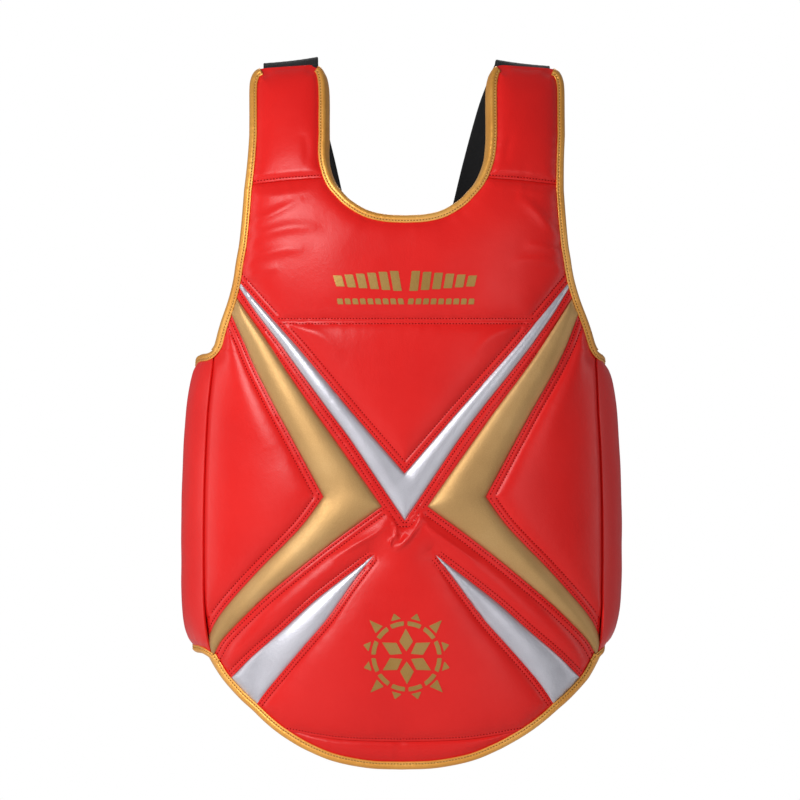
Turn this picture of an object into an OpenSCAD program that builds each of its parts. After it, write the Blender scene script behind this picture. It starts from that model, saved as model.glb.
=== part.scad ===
// Trainer's body protector: a padded front with two side wings, worn over the shoulders on a
// webbing harness and closed round the waist by an elastic belt. Millimetres, +Z up, the front
// faces -Y, +X is to the right of someone looking at the front. The origin is on the torso's
// upright axis, level with the lowest point of the hem.

/* [Torso] */
// Half of the protector's width at the waist
half_width = 199; // [192:1:206]
// How far the front stands ahead of the torso's axis
front_depth = 132; // [126:1:138]
// Roundness of the waist section: 2 is an ellipse, more is squarer
squareness = 2.3; // [2.2:0.05:2.4]
// Radius of the backward lean of the chest and shoulders
lean_radius = 283; // [270:1:320]

/* [Padding] */
// Thickness of the quilted outer skin
skin_t = 4; // [3:0.5:4.5]
// Thickness of the foam
foam_t = 14; // [11:0.5:15]
// Thickness of the body-side lining
lining_t = 1.8; // [1.2:0.1:2.2]
// Gap left between layers and between sewn panels
seam_gap = 0.8; // [0.5:0.1:0.8]
// Thickness of the binding that wraps every edge
binding_t = 2.4; // [2:0.1:2.6]

/* [Webbing and belt] */
// Width of the shoulder webbing and of the waist belt
web_w = 50; // [46:1:50]
// Thickness of the shoulder webbing
web_t = 1.8; // [1.4:0.1:2]
// Height of the belt's centre line
belt_z = 236; // [225:1:245]
// Thickness of the belt's elastic
belt_t = 1.6; // [1.2:0.1:1.6]
// Radius of the round bars of the plastic rings
bar_r = 1.5; // [1.2:0.1:1.5]
// Distance between the two long bars of a ring, centre to centre
ring_span = 14; // [13:0.5:16]
// Length of the belt flap that folds back past the ring
flap_l = 92; // [70:1:95]

/* [Harness adjuster] */
// Height of the adjuster, along the strap, above the back ring
adjuster_up = 62; // [58:1:70]
// Width of an adjuster's side rail
rail_w = 4; // [3:0.5:5]

/* [Hidden] */

$fn = 40;
red = [0.80, 0.09, 0.08];
gold = [0.72, 0.56, 0.30];
silver = [0.76, 0.76, 0.80];
black = [0.10, 0.10, 0.11];
foam = [0.55, 0.55, 0.58];

// Depths under the outer surface where each layer starts and ends
foam_top = skin_t + seam_gap;
foam_end = foam_top + foam_t;
lining_top = foam_end + seam_gap;
lining_end = lining_top + lining_t;
binding_out = -0.6;
binding_in = lining_end + 0.6;

// Height where the chest starts to lean back, and where the waist is widest
lean_z = 440;
waist_top = 200;
waist_low = 150;
// The front and a wing meet in this plane, a little ahead of the torso's axis
seam_y = -67;
// Half of the play between the front and a wing
seam_play = 0.6;
panel_step = 17;
row_step = 20;

function sq(v) = v * v;
function mix(a, b, k) = a + (b - a) * k;
function power(v, e) = sign(v) * pow(abs(v), e);
function unit(v) = v / norm(v);

// Half width, front depth, backward lean and slope of the outer surface at a height
function half_at(z) = half_width - 0.00029 * sq(max(0, min(z, 360) - waist_top))
    - 0.0022 * sq(max(0, waist_low - max(z, 90)));
function depth_at(z) = front_depth - 0.0005 * sq(max(0, waist_low - z));
function rise_at(z) = max(0, z - lean_z);
function lean_at(z) = lean_radius - sqrt(sq(lean_radius) - sq(rise_at(z)));
function slope_at(z) = asin(rise_at(z) / lean_radius);

// A point of the layer at depth t, from its angle round the torso and its height
function place(phi, z, t) = let (slope = slope_at(z))
    [(half_at(z) - t) * power(sin(phi), 2 / squareness),
     lean_at(z) - (depth_at(z) - t * cos(slope)) * power(cos(phi), 2 / squareness),
     z - t * sin(slope)];

// The same from a front view position [x, z], or from a side view position [y, z]
function front_point(p, t) =
    place(sign(p[0]) * asin(pow(abs(p[0]) / half_at(p[1]), squareness / 2)), p[1], t);
function side_point(p, t) =
    place(acos(power(-p[0] / depth_at(p[1]), squareness / 2)), p[1], t);

// Front view x of the seam between the front and a wing, less the play
function seam_x(z) = half_at(z)
    * pow(1 - pow((-seam_y + seam_play) / depth_at(z), squareness), 1 / squareness);
function seam_line(heights) = [for (z = heights) [seam_x(z), z]];

// A whole outline from its right half, which starts on the centre line
function whole(half) = concat([for (i = [len(half) - 1:-1:1]) [-half[i][0], half[i][1]]], half);

// An open outline moved sideways by d, to the left of its direction
function shifted(line, d) = [for (i = [0:len(line) - 1])
    let (a = line[max(0, i - 1)], b = line[min(len(line) - 1, i + 1)], u = unit(b - a))
    line[i] + d * [-u[1], u[0]]];

// Pairs of points on the two long sides of a panel, no further apart than step
function rungs(low, high, step) = [for (i = [0:len(low) - 1])
    let (last = i == len(low) - 1, next = last ? i : i + 1,
        span = max(norm(low[next] - low[i]), norm(high[next] - high[i])),
        n = last ? 1 : max(1, ceil(span / step)))
    for (k = [0:n - 1]) [mix(low[i], low[next], k / n), mix(high[i], high[next], k / n)]];

// A padded sheet that follows the torso between two outlines and between depths t0 and t1
module sheet(low, high, t0, t1, gap = 0.5, side = false, step = panel_step, row = row_step) {
    pairs = rungs(shifted(low, gap), shifted(high, -gap), step);
    nu = len(pairs) - 1;
    nv = max(1, ceil(max([for (p = pairs) norm(p[1] - p[0])]) / row));
    w = nu + 1;
    under = w * (nv + 1);
    points = [for (t = [t0, t1]) for (j = [0:nv]) for (p = pairs)
        let (q = mix(p[0], p[1], j / nv)) side ? side_point(q, t) : front_point(q, t)];
    cells = [for (j = [0:nv - 1]) for (i = [0:nu - 1]) [j * w + i, (j + 1) * w + i, (j + 1) * w + i + 1,
        j * w + i + 1]];
    rim = concat([for (i = [0:nu - 1]) [i, i + 1]],
        [for (j = [0:nv - 1]) [j * w + nu, (j + 1) * w + nu]],
        [for (i = [nu:-1:1]) [nv * w + i, nv * w + i - 1]],
        [for (j = [nv:-1:1]) [j * w, (j - 1) * w]]);
    faces = concat([for (c = cells) [c[0], c[1], c[2]]], [for (c = cells) [c[0], c[2], c[3]]],
        [for (c = cells) [c[2] + under, c[1] + under, c[0] + under]],
        [for (c = cells) [c[3] + under, c[2] + under, c[0] + under]],
        [for (e = rim) [e[0], e[1], e[1] + under]], [for (e = rim) [e[0], e[1] + under, e[0] + under]]);
    polyhedron(points, faces);
}

// A flat strap of width w and thickness t swept along a 3D path, its width held near X
module strap(path, w, t) {
    last = len(path) - 1;
    rings = [for (i = [0:last])
        let (d = unit(path[min(last, i + 1)] - path[max(0, i - 1)]),
            across = unit([1, 0, 0] - d[0] * d), out = cross(across, d))
        for (c = [[-1, -1], [1, -1], [1, 1], [-1, 1]])
            path[i] + c[0] * across * w / 2 + c[1] * out * t / 2];
    sides = [for (i = [0:last - 1]) for (k = [0:3]) let (a = 4 * i + k, b = 4 * i + (k + 1) % 4)
        [a, b, b + 4, a + 4]];
    faces = concat([for (q = sides) [q[2], q[1], q[0]]], [for (q = sides) [q[3], q[2], q[0]]],
        [[0, 1, 2], [0, 2, 3], [4 * last + 2, 4 * last + 1, 4 * last], [4 * last + 3, 4 * last + 2, 4 * last]]);
    polyhedron(points = rings, faces = faces);
}

// The right-hand piece as modelled, or its mirror image for the wearer's other side
module handed(right) {
    if (right) children();
    else mirror([1, 0, 0]) children();
}

// Outlines, in front view [x, z], right half; the wearer's neck is at the top
neck_edge = [[0, 497], [18, 498], [34, 502], [49, 511], [58, 520], [64, 528], [69, 540], [71.5, 554],
    [72.5, 580], [72.5, 602], [74, 618], [78, 629], [83, 633]];
arm_edge = [[130, 630], [136.5, 624], [139.5, 612], [141, 583], [142, 547], [144.5, 511], [148, 475],
    [151, 457], [153.5, 439], [158, 421], [165, 403], [171, 387], [172.4, 376]];
hem_edge = [[0, 0], [30, 1.2], [61, 7], [84, 16], [101, 25], [115, 34], [126.5, 43], [136.5, 52],
    [147, 61], [156, 70], [164, 79], [169, 88], [171, 97]];
// The same edges where the binding stops and the layers begin
neck_in = [[0, 494], [18, 495], [34, 499], [51, 508], [60, 518], [69, 530]];
arm_in = [[137.5, 524], [141, 505], [144.5, 475], [149, 450], [154, 422], [158, 412], [162, 402],
    [165.5, 393], [168, 385], [169.5, 378]];

// Seams of the front, right half. The V's top edge is a straight line of this slope
v_top_z = 265;
v_rise = 1.157;
function v_top(x) = [x, v_top_z + v_rise * x];
chest_z = 401.6;
v_low = [[0, 222.4], [25, 259.5], [49, 295.7], [72, 326], [95.7, 357], [115, 383], [134, 409], [147, 431]];
v_high = [for (x = [0, 18, 44, 70, 94, 114, 133, 146]) v_top(x)];
chevron_out = [[171, 102], [149, 131], [127, 152], [96, 178], [61, 205], [20.4, 235.2], [53, 282],
    [79, 318], [105, 354], [128, 388], [150, 421]];
chevron_in = [[173.5, 116], [159.6, 145.3], [141.5, 166], [124.8, 184], [90.4, 220], [73, 244],
    [86, 269], [100, 294], [135.7, 360], [146, 385], [155, 408]];
dart_high = [[36.5, 185], [55, 171], [83, 149], [110, 124.6], [136, 102], [150, 88], [158, 78.5]];
dart_low = [[34, 183.4], [46, 167.6], [72.5, 131.4], [93.6, 107.3], [112.6, 85], [124, 70.5], [133, 55.5]];

module yoke_panel() color(red) {
    low = concat([[0, chest_z], [22, chest_z], [42, chest_z], [58, chest_z], [70, chest_z], [82, chest_z],
        [98, chest_z], [112, chest_z]], [for (x = [119, 127, 136, 142, 146]) v_top(x)]);
    high = concat(neck_in, [[100, 528], [130, 526], [137, 525], [141, 511], [145, 475], [147.5, 457],
        [148.8, 446]]);
    sheet(whole(low), whole(high), 0, skin_t);
}

module triangle_panel() color(red) {
    xs = [0, 30, 60, 90, 105, 114];
    sheet(whole([for (x = xs) v_top(x)]), whole([for (x = xs) [x, chest_z]]), 0, skin_t);
}

module v_band() color(silver) sheet(whole(v_low), whole(v_high), 0, skin_t);

module chest_strip(right) color(red) handed(right) {
    low = [[7, 226], [20, 235], [53, 282], [79, 318], [105, 354], [128, 388], [149, 419.5]];
    high = [[6, 231.4], [20, 252], [49, 295.7], [72, 326], [95.7, 357], [121, 391], [147, 431]];
    sheet(low, high, 0, skin_t);
}

module chevron(right) color(gold) handed(right) sheet(chevron_in, chevron_out, 0, skin_t);

module side_panel(right) color(red) handed(right) {
    low = concat(seam_line([127, 152, 180, 205, 230, 255, 275, 300, 345]),
        [[169.5, 375], [168.4, 384], [162, 402], [157.5, 412]]);
    high = [[171.5, 123], [159.6, 145.3], [141.5, 166], [124.8, 184], [90.4, 220], [73, 244], [86, 269],
        [100, 294], [135.7, 360], [142, 375], [146, 385], [153, 403], [155.4, 409.5]];
    sheet(low, high, 0, skin_t);
}

module dart_strip(right) color(red) handed(right) {
    low = [[4, 217], [14, 205], [28, 191.5], [55, 171], [83, 149], [110, 124.6], [136, 102], [150, 88],
        [157.5, 79]];
    high = [[5, 222.5], [20, 234], [40, 221], [68, 200], [96, 178], [127, 152], [149, 131], [163, 113],
        [169, 102]];
    sheet(low, high, 0, skin_t);
}

module dart(right) color(silver) handed(right) sheet(dart_low, dart_high, 0, skin_t);

module belly_panel() color(red) {
    low = [[0, 24.2], [10, 24.3], [22, 24.7], [40, 25.2], [62, 26.5], [82, 29.5], [96, 32], [104, 33.8],
        [110, 35.5]];
    high = [[0, 218], [12, 205.5], [26, 190.5], [46, 167.6], [72.5, 131.4], [93.6, 107.3], [112.6, 85],
        [123, 70.5], [132, 57]];
    sheet(whole(low), whole(high), 0, skin_t);
}

module hem_band() color(red) {
    low = [[0, 3], [30, 4.2], [60, 10], [82, 18.8], [97, 27], [103, 30]];
    high = [[0, 24.2], [28, 24.8], [56, 26], [79, 29.2], [94, 31.7], [101, 33.2]];
    sheet(whole(low), whole(high), 0, skin_t);
}

// Thin printed emblems: a bar with tapered ends on the chest, a rosette of rays on the belly
print_t = 0.4;
print_lift = 0.5;

module chest_print() color(gold) {
    low = [[0, 418], [24, 418], [44, 420], [62, 424]];
    high = [[0, 446], [24, 446], [44, 442], [62, 436]];
    sheet(whole(low), whole(high), -print_lift - print_t, -print_lift, gap = 0);
}

module belly_print() color(gold) {
    low = [[0, 62], [18, 68], [34, 82], [44, 98]];
    high = [[0, 142], [18, 137], [34, 123], [44, 106]];
    sheet(whole(low), whole(high), -print_lift - print_t, -print_lift, gap = 0);
}

shoulder_right = [[136.5, 526.6], [138.5, 547], [138, 583], [136.5, 610], [133, 621], [127, 627.5]];
shoulder_left = [[71.5, 531], [74.5, 554], [75.5, 583], [75.5, 602], [78, 618], [84, 630]];
module shoulder_layer(right, t0, t1, step = panel_step) handed(right)
    sheet(shoulder_right, shoulder_left, t0, t1, step = step, row = 16);
module shoulder_panel(right) color(red) shoulder_layer(right, 0, skin_t);
module shoulder_foam(right) color(foam) shoulder_layer(right, foam_top, foam_end);
module shoulder_lining(right) color(black) shoulder_layer(right, lining_top, lining_end, 20);

front_low = concat([[0, 3], [24, 4], [46, 7.4], [66, 12.4], [82, 19], [97, 27], [112, 37], [125, 47],
    [137, 57.5], [149, 68.5], [158, 78.5], [165.5, 97]], seam_line([104, 125, 150, 180, 212, 245]));
front_high = concat(neck_in, [[100, 528], [130, 526]], arm_in);
module front_layer(t0, t1) sheet(whole(front_low), whole(front_high), t0, t1, step = 64, row = 30);
module front_foam() color(foam) front_layer(foam_top, foam_end);
module front_lining() color(black) front_layer(lining_top, lining_end);

// Wing outlines, in side view [y, z], from the front seam to the rear edge
wing_start = seam_y + seam_play;
wing_low = [[wing_start, 102.5], [-45, 102.5], [-20, 103], [0, 104], [20, 105], [38, 108], [52, 115],
    [59, 127]];
wing_high = [[wing_start, 370], [-45, 369], [-20, 366], [0, 362], [20, 357], [38, 351], [52, 343],
    [59, 331]];
module wing_layer(right, t0, t1) handed(right)
    sheet(wing_low, wing_high, t0, t1, side = true, row = 60);
module wing_panel(right) color(red) wing_layer(right, 0, skin_t);
module wing_foam(right) color(foam) wing_layer(right, foam_top, foam_end);
module wing_lining(right) color(black) wing_layer(right, lining_top, lining_end);

// Binding along an edge: a strip as deep as all the layers, on the panel side of the edge
module binding(edge, side = false) color(gold)
    sheet(shifted(edge, -binding_t), edge, binding_out, binding_in, gap = 0, side = side);
module neck_binding() binding(whole(neck_edge));
module armhole_binding(right) handed(right) binding(arm_edge);
module hem_binding() {
    edge = whole(hem_edge);
    color(gold) sheet(edge, shifted(edge, binding_t), binding_out, binding_in, gap = 0);
}
wing_edge = [[wing_start, 373.5], [-45, 372.5], [-20, 369.5], [0, 365.5], [20, 360.5], [40, 354],
    [55, 345], [62.5, 332], [63, 290], [63, 236], [63, 180], [62.5, 126], [55, 112], [40, 104.5],
    [20, 101.5], [0, 100.5], [-20, 99.5], [-45, 99], [wing_start, 99]];
module wing_binding(right) handed(right) binding(wing_edge, side = true);

// Harness: the strap's straight run down the back leans inwards, and ends at the back ring
ring_at = [32.6, 120.5, 330];
run_top = [66.9, 115, 470];
run = unit(run_top - ring_at);
run_across = unit(run[0] * run - [1, 0, 0]);
run_out = cross(run_across, run);
over_shoulder = [[105.5, -35, 629.5], [105.5, -29, 634.5], [105.5, -20, 638.3], [105.5, -8, 639.6],
    [105.3, 6, 637.5], [104.5, 22, 630.5], [102.5, 40, 617], [99.5, 58, 599], [94.5, 75, 574],
    [87.5, 91, 546], [79.5, 102, 516], [73.5, 108.5, 494]];
turn_r = bar_r + 0.4 + web_t / 2;
turn = [for (a = [0:-45:-180]) ring_at - run_out * turn_r * cos(a) + run * turn_r * sin(a)];
return_end = ring_at + run * (adjuster_up - 4.5) + run_out * 4.2;
module shoulder_strap(right) color(black) handed(right)
    strap(concat(over_shoulder, [run_top - run_out * turn_r], turn,
        [ring_at + run * 20 + run_out * 4.2, return_end]), web_w, web_t);

// Places a piece that is drawn flat (x across the strap, y along it, z away from the back)
module on_run(up) multmatrix([
    [run_across[0], run[0], run_out[0], ring_at[0] + run[0] * up],
    [run_across[1], run[1], run_out[1], ring_at[1] + run[1] * up],
    [run_across[2], run[2], run_out[2], ring_at[2] + run[2] * up],
    [0, 0, 0, 1]]) children();

// The adjuster's end bars pass behind the strap and its middle bar in front, so it grips it
adjuster_h = 30;
adjuster_bar = 6;
adjuster_play = 0.6;
module adjuster(right) color(black) handed(right) on_run(adjuster_up) {
    inner = web_w / 2 + 1;
    web = -turn_r;
    back = web - web_t / 2 - adjuster_play;
    front = web + web_t / 2 + adjuster_play;
    for (s = [-1, 1])
        translate([s * (inner + rail_w / 2) - rail_w / 2, -adjuster_h / 2, back - 2.4])
            cube([rail_w, adjuster_h, front - back + 5.4]);
    for (s = [-1, 1])
        translate([-inner - 0.5, s * (adjuster_h - adjuster_bar) / 2 - adjuster_bar / 2, back - 2.4])
            cube([2 * inner + 1, adjuster_bar, 2.4]);
    translate([-inner - 0.5, -adjuster_bar / 2, front])
        cube([2 * inner + 1, adjuster_bar, 3]);
}

// A rectangular ring of round rod, lying in the plane of its own X and Y
module rod_ring(w, h) {
    for (s = [-1, 1]) {
        translate([-w / 2, s * h / 2, 0]) rotate([0, 90, 0]) cylinder(h = w, r = bar_r);
        translate([s * w / 2, -h / 2, 0]) rotate([-90, 0, 0]) cylinder(h = h, r = bar_r);
        for (k = [-1, 1]) translate([s * w / 2, k * h / 2, 0]) sphere(r = bar_r);
    }
}
ring_w = web_w + 2 + 2 * bar_r;
module back_ring(right) color(black) handed(right) on_run(-ring_span / 2) rod_ring(ring_w, ring_span);

// A webbing loop from the patch round the ring's lower bar and back
tab_w = 40;
tab_foot = 36;
module back_tab(right) color(black) handed(right) on_run(-ring_span)
    translate([tab_w / 2, 0, 0]) rotate([0, -90, 0]) linear_extrude(tab_w) tab_profile(tab_foot);

// Section of a webbing loop: a bight round a bar at the origin, two legs towards -Y
module tab_profile(leg) {
    r0 = bar_r + 0.4;
    r1 = r0 + belt_t;
    difference() {
        union() {
            circle(r1);
            translate([-r1, -leg]) square([2 * r1, leg]);
        }
        circle(r0);
        translate([-r0, -leg - 1]) square([2 * r0, leg + 1]);
    }
}

// The centre piece of the harness, sewn under the tabs and between the belt's two halves
patch_w = 104;
patch_t = 3.4;
patch_low = 206;
patch_high = 304;
patch_y = front_depth - 17.8;
module back_patch() color(red)
    translate([-patch_w / 2, patch_y, patch_low]) cube([patch_w, patch_t, patch_high - patch_low]);

// Plan view of the belt: its curve at depth t, from the x where it starts to where it ends
function plan_point(x, t) = [x, (front_depth - t)
    * pow(1 - pow(x / (half_width - t), squareness), 1 / squareness)];
function plan_strip(x0, x1, t0, t1) = concat(
    [for (k = [0:8]) plan_point(mix(x0, x1, k / 8), t0)],
    [for (k = [8:-1:0]) plan_point(mix(x0, x1, k / 8), t1)]);
bar_depth = 10.5;
front_bar_x = 163;
front_bar = plan_point(front_bar_x, bar_depth);
belt_dir = unit(plan_point(front_bar_x - 10, bar_depth) - front_bar);
rear_bar = front_bar + ring_span * belt_dir;
bight_in = bar_r + 0.4;
bight_out = bight_in + belt_t;
belt_end_x = rear_bar[0] - 6;

module band(points, h) translate([0, 0, belt_z - h / 2]) linear_extrude(h) polygon(points);

module belt(right) color(black) handed(right)
    band(plan_strip(patch_w / 2 + 1, belt_end_x, bar_depth + bight_in, bar_depth + bight_out), web_w);

module loop_patch(right) color([0.18, 0.18, 0.19]) handed(right)
    band(plan_strip(64, belt_end_x - 4, bar_depth + 0.5, bar_depth + bight_in - 0.1), web_w - 4);

// Places a plan view shape at a bar of the belt ring, its -Y towards the wing
belt_turn = atan2(belt_dir[1], belt_dir[0]) - 90;
module at_bar(bar) translate([bar[0], bar[1], belt_z]) rotate([0, 0, belt_turn]) children();

module wing_tab(right) color(black) handed(right) at_bar(front_bar)
    translate([0, 0, -tab_w / 2]) linear_extrude(tab_w) tab_profile(6);

module belt_ring(right) color(black) handed(right) at_bar(front_bar)
    translate([0, ring_span / 2, 0]) rotate([0, 90, 0]) rod_ring(ring_w, ring_span);

// The flap's bight lies in the ring's slot, and its strand runs back outside the belt
flap_end_x = rear_bar[0] - flap_l * 0.9;
module belt_flap(right) color(black) handed(right) {
    at_bar(rear_bar) translate([0, 0, -web_w / 2]) linear_extrude(web_w) difference() {
        circle(bight_out);
        circle(bight_in);
        translate([-2 * bight_out, 0]) square([4 * bight_out, 2 * bight_out]);
    }
    hull() {
        at_bar(rear_bar) translate([bight_in, -0.02, -web_w / 2]) cube([belt_t, 0.04, web_w]);
        band(plan_strip(rear_bar[0] - 5, rear_bar[0] - 6, bar_depth - bight_out, bar_depth - bight_in), web_w);
    }
    band(plan_strip(flap_end_x, rear_bar[0] - 5.5, bar_depth - bight_out, bar_depth - bight_in), web_w);
}

module hook_patch(right) color([0.14, 0.14, 0.15]) handed(right)
    band(plan_strip(flap_end_x + 4, rear_bar[0] - 16, bar_depth - bight_in + 0.05, bar_depth), web_w - 4);

yoke_panel();
triangle_panel();
v_band();
chest_strip(false);  // left_chest_strip
chest_strip(true);  // right_chest_strip
chevron(false);  // left_chevron
chevron(true);  // right_chevron
side_panel(false);  // left_side_panel
side_panel(true);  // right_side_panel
dart_strip(false);  // left_dart_strip
dart_strip(true);  // right_dart_strip
dart(false);  // left_dart
dart(true);  // right_dart
belly_panel();
hem_band();
chest_print();
belly_print();
shoulder_panel(false);  // left_shoulder_panel
shoulder_panel(true);  // right_shoulder_panel
shoulder_foam(false);  // left_shoulder_foam
shoulder_foam(true);  // right_shoulder_foam
shoulder_lining(false);  // left_shoulder_lining
shoulder_lining(true);  // right_shoulder_lining
front_foam();
front_lining();
wing_panel(false);  // left_wing_panel
wing_panel(true);  // right_wing_panel
wing_foam(false);  // left_wing_foam
wing_foam(true);  // right_wing_foam
wing_lining(false);  // left_wing_lining
wing_lining(true);  // right_wing_lining
neck_binding();
armhole_binding(false);  // left_armhole_binding
armhole_binding(true);  // right_armhole_binding
hem_binding();
wing_binding(false);  // left_wing_binding
wing_binding(true);  // right_wing_binding
shoulder_strap(false);  // left_shoulder_strap
shoulder_strap(true);  // right_shoulder_strap
adjuster(false);  // left_adjuster
adjuster(true);  // right_adjuster
back_ring(false);  // left_back_ring
back_ring(true);  // right_back_ring
back_tab(false);  // left_back_tab
back_tab(true);  // right_back_tab
back_patch();
belt(false);  // left_belt
belt(true);  // right_belt
loop_patch(false);  // left_loop_patch
loop_patch(true);  // right_loop_patch
wing_tab(false);  // left_wing_tab
wing_tab(true);  // right_wing_tab
belt_ring(false);  // left_belt_ring
belt_ring(true);  // right_belt_ring
belt_flap(false);  // left_belt_flap
belt_flap(true);  // right_belt_flap
hook_patch(false);  // left_hook_patch
hook_patch(true);  // right_hook_patch
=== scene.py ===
import math

import bmesh
import bpy
import numpy as np
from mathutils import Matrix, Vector, noise
from mathutils.geometry import delaunay_2d_cdt


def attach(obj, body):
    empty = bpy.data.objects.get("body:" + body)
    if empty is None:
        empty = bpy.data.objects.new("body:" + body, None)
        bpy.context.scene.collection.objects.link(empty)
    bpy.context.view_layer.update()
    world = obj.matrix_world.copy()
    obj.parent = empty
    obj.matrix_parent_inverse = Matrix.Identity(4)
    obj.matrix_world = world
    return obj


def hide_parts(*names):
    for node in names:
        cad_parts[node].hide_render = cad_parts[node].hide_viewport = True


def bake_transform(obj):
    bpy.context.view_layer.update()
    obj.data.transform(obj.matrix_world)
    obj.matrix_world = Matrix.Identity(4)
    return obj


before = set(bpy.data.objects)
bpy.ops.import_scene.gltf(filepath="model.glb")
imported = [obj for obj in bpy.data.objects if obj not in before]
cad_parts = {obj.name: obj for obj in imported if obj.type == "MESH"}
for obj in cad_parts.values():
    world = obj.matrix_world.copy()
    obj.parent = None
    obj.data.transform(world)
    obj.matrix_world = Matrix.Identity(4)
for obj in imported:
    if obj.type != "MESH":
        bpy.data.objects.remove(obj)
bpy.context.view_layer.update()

MM = 0.001
scene = bpy.context.scene

# ---------------------------------------------------------------- the torso's surface, in mm
HALF_WIDTH = 199.0
FRONT_DEPTH = 132.0
SQUARENESS = 2.3
LEAN_RADIUS = 283.0     # the chest leans back to the shoulders along this radius, from LEAN_Z up
LEAN_Z = 440.0
LEAN_LIMIT = 0.98
WAIST_TOP = 200.0       # narrower above this height and below WAIST_LOW
WAIST_LOW = 150.0
ARMHOLE_Z, WING_FOOT_Z = 360, 90
TAPER_UP, TAPER_DOWN, DEPTH_TAPER = 0.00029, 0.0022, 0.0005
SEAM_Y = -67.0
BELT_Z = 236.0


def power(v, e):
    return np.sign(v) * np.abs(v) ** e


def eased(v):
    """From 0 to 1 with a soft start and a soft end."""
    v = np.clip(v, 0, 1)
    return v * v * (3 - 2 * v)


def half_at(z):
    """Half the width at a height."""
    above = np.maximum(0, np.minimum(z, ARMHOLE_Z) - WAIST_TOP)
    below = np.maximum(0, WAIST_LOW - np.maximum(z, WING_FOOT_Z))
    return HALF_WIDTH - TAPER_UP * above**2 - TAPER_DOWN * below**2


def depth_at(z):
    """How far the front stands out at a height."""
    return FRONT_DEPTH - DEPTH_TAPER * np.maximum(0, WAIST_LOW - z) ** 2


def place(phi, z, t):
    """The point at depth t under the outer surface, from its angle round the torso and its height."""
    rise = np.clip(z - LEAN_Z, 0, LEAN_RADIUS * LEAN_LIMIT)
    lean = LEAN_RADIUS - np.sqrt(LEAN_RADIUS**2 - rise**2)
    slope = np.arcsin(rise / LEAN_RADIUS)
    x = (half_at(z) - t) * power(np.sin(phi), 2 / SQUARENESS)
    y = lean - (depth_at(z) - t * np.cos(slope)) * power(np.cos(phi), 2 / SQUARENESS)
    return np.stack([x, y, z - t * np.sin(slope)], axis=-1)


SHALLOW = 5.0
DRIFT_Z = [0, 20, 50, 80, 160, 320, 380, 450, 520, 570, 640]
DRIFT_X = [-2, -1.5, 1, 2, 0, 0, 2, 0, 0.5, 3.8, 4.6]


def drift(z):
    """How far the real one lies off its centre line at each height."""
    return np.interp(z, DRIFT_Z, DRIFT_X)


def front_angle(x, z, t):
    """The angle round the torso at which x shows from the front."""
    share = np.clip(np.abs(x) / (half_at(z) - np.minimum(t, SHALLOW)), 0, 1) ** (SQUARENESS / 2)
    return np.sign(x) * np.arcsin(share)


def front_point(p, t):
    """The point at depth t that shows at [x, z] from the front; deeper than SHALLOW it moves inwards."""
    x, z = p[..., 0], p[..., 1]
    rise = np.clip(z - LEAN_Z, 0, LEAN_RADIUS * LEAN_LIMIT)
    point = place(front_angle(x, z, t), z + np.minimum(t, SHALLOW) * rise / LEAN_RADIUS, t)
    point[..., 0] += drift(z)
    return point


def side_point(p, t):
    """The same on the right side, from a side view position [y, z]; it meets front_point at the seam."""
    y, z = p[..., 0], p[..., 1]
    angle = np.arccos(np.clip(power(-y / depth_at(z), SQUARENESS / 2), -1, 1))
    seam = np.arccos(power(-SEAM_Y / depth_at(z), SQUARENESS / 2))
    near = eased((-30 - y) / 37)
    return place(angle + (front_angle(seam_x(z), z, t) - seam) * near, z, t)


def seam_x(z):
    """Where the side seam lies at a height, from the front."""
    z = np.asarray(z, float)
    return half_at(z) * (1 - (-SEAM_Y / depth_at(z)) ** SQUARENESS) ** (1 / SQUARENESS)


# ---------------------------------------------------------------- curves in the plane
def arr(points):
    return np.array(points, float)


def resample(line, step):
    """The line again with even steps, its two ends kept."""
    length = np.concatenate([[0], np.cumsum(np.linalg.norm(np.diff(line, axis=0), axis=1))])
    n = max(1, int(round(length[-1] / step)))
    at = np.linspace(0, length[-1], n + 1)
    return np.stack([np.interp(at, length, line[:, k]) for k in range(line.shape[1])], axis=1)


def catmull_rom(points, pieces):
    """A Catmull-Rom curve through the points, with so many pieces from each to the next."""
    p = arr(points)
    p = np.vstack([2 * p[0] - p[1], p, 2 * p[-1] - p[-2]])
    out = []
    for a, b, c, d in zip(p[:-3], p[1:-2], p[2:-1], p[3:]):
        for k in np.linspace(0, 1, pieces, endpoint=False):
            out.append(0.5 * (2 * b + (c - a) * k + (2 * a - 5 * b + 4 * c - d) * k**2
                              + (3 * b - a - 3 * c + d) * k**3))
    out.append(p[-2])
    return arr(out)


def smooth(points, step=2.0):
    return resample(catmull_rom(points, 12), step)


def straight(points, step=2.0):
    p = arr(points)
    return np.vstack([resample(p[i:i + 2], step)[(1 if i else 0):] for i in range(len(p) - 1)])


def flip(line):
    return line[::-1].copy()


def whole(half):
    """A line from the left to the right, from its right half, which starts on the centre line."""
    left = half[:0:-1] * [-1, 1]
    return np.vstack([left, half])


def joined(*lines):
    """One line from several; a point that two of them share is kept once."""
    out = [lines[0]]
    for line in lines[1:]:
        gap = np.linalg.norm(line[0] - out[-1][-1])
        out.append(line[1:] if gap < 0.05 else line)
    return np.vstack(out)


def closed(ring):
    return np.vstack([ring, ring[:1]])


def normals(line):
    """Unit normals to the left of the line's direction."""
    d = np.gradient(line, axis=0)
    d /= np.maximum(np.linalg.norm(d, axis=1, keepdims=True), 1e-9)
    return np.stack([-d[:, 1], d[:, 0]], axis=1)


def offset(line, d):
    return line + normals(line) * d


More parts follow.
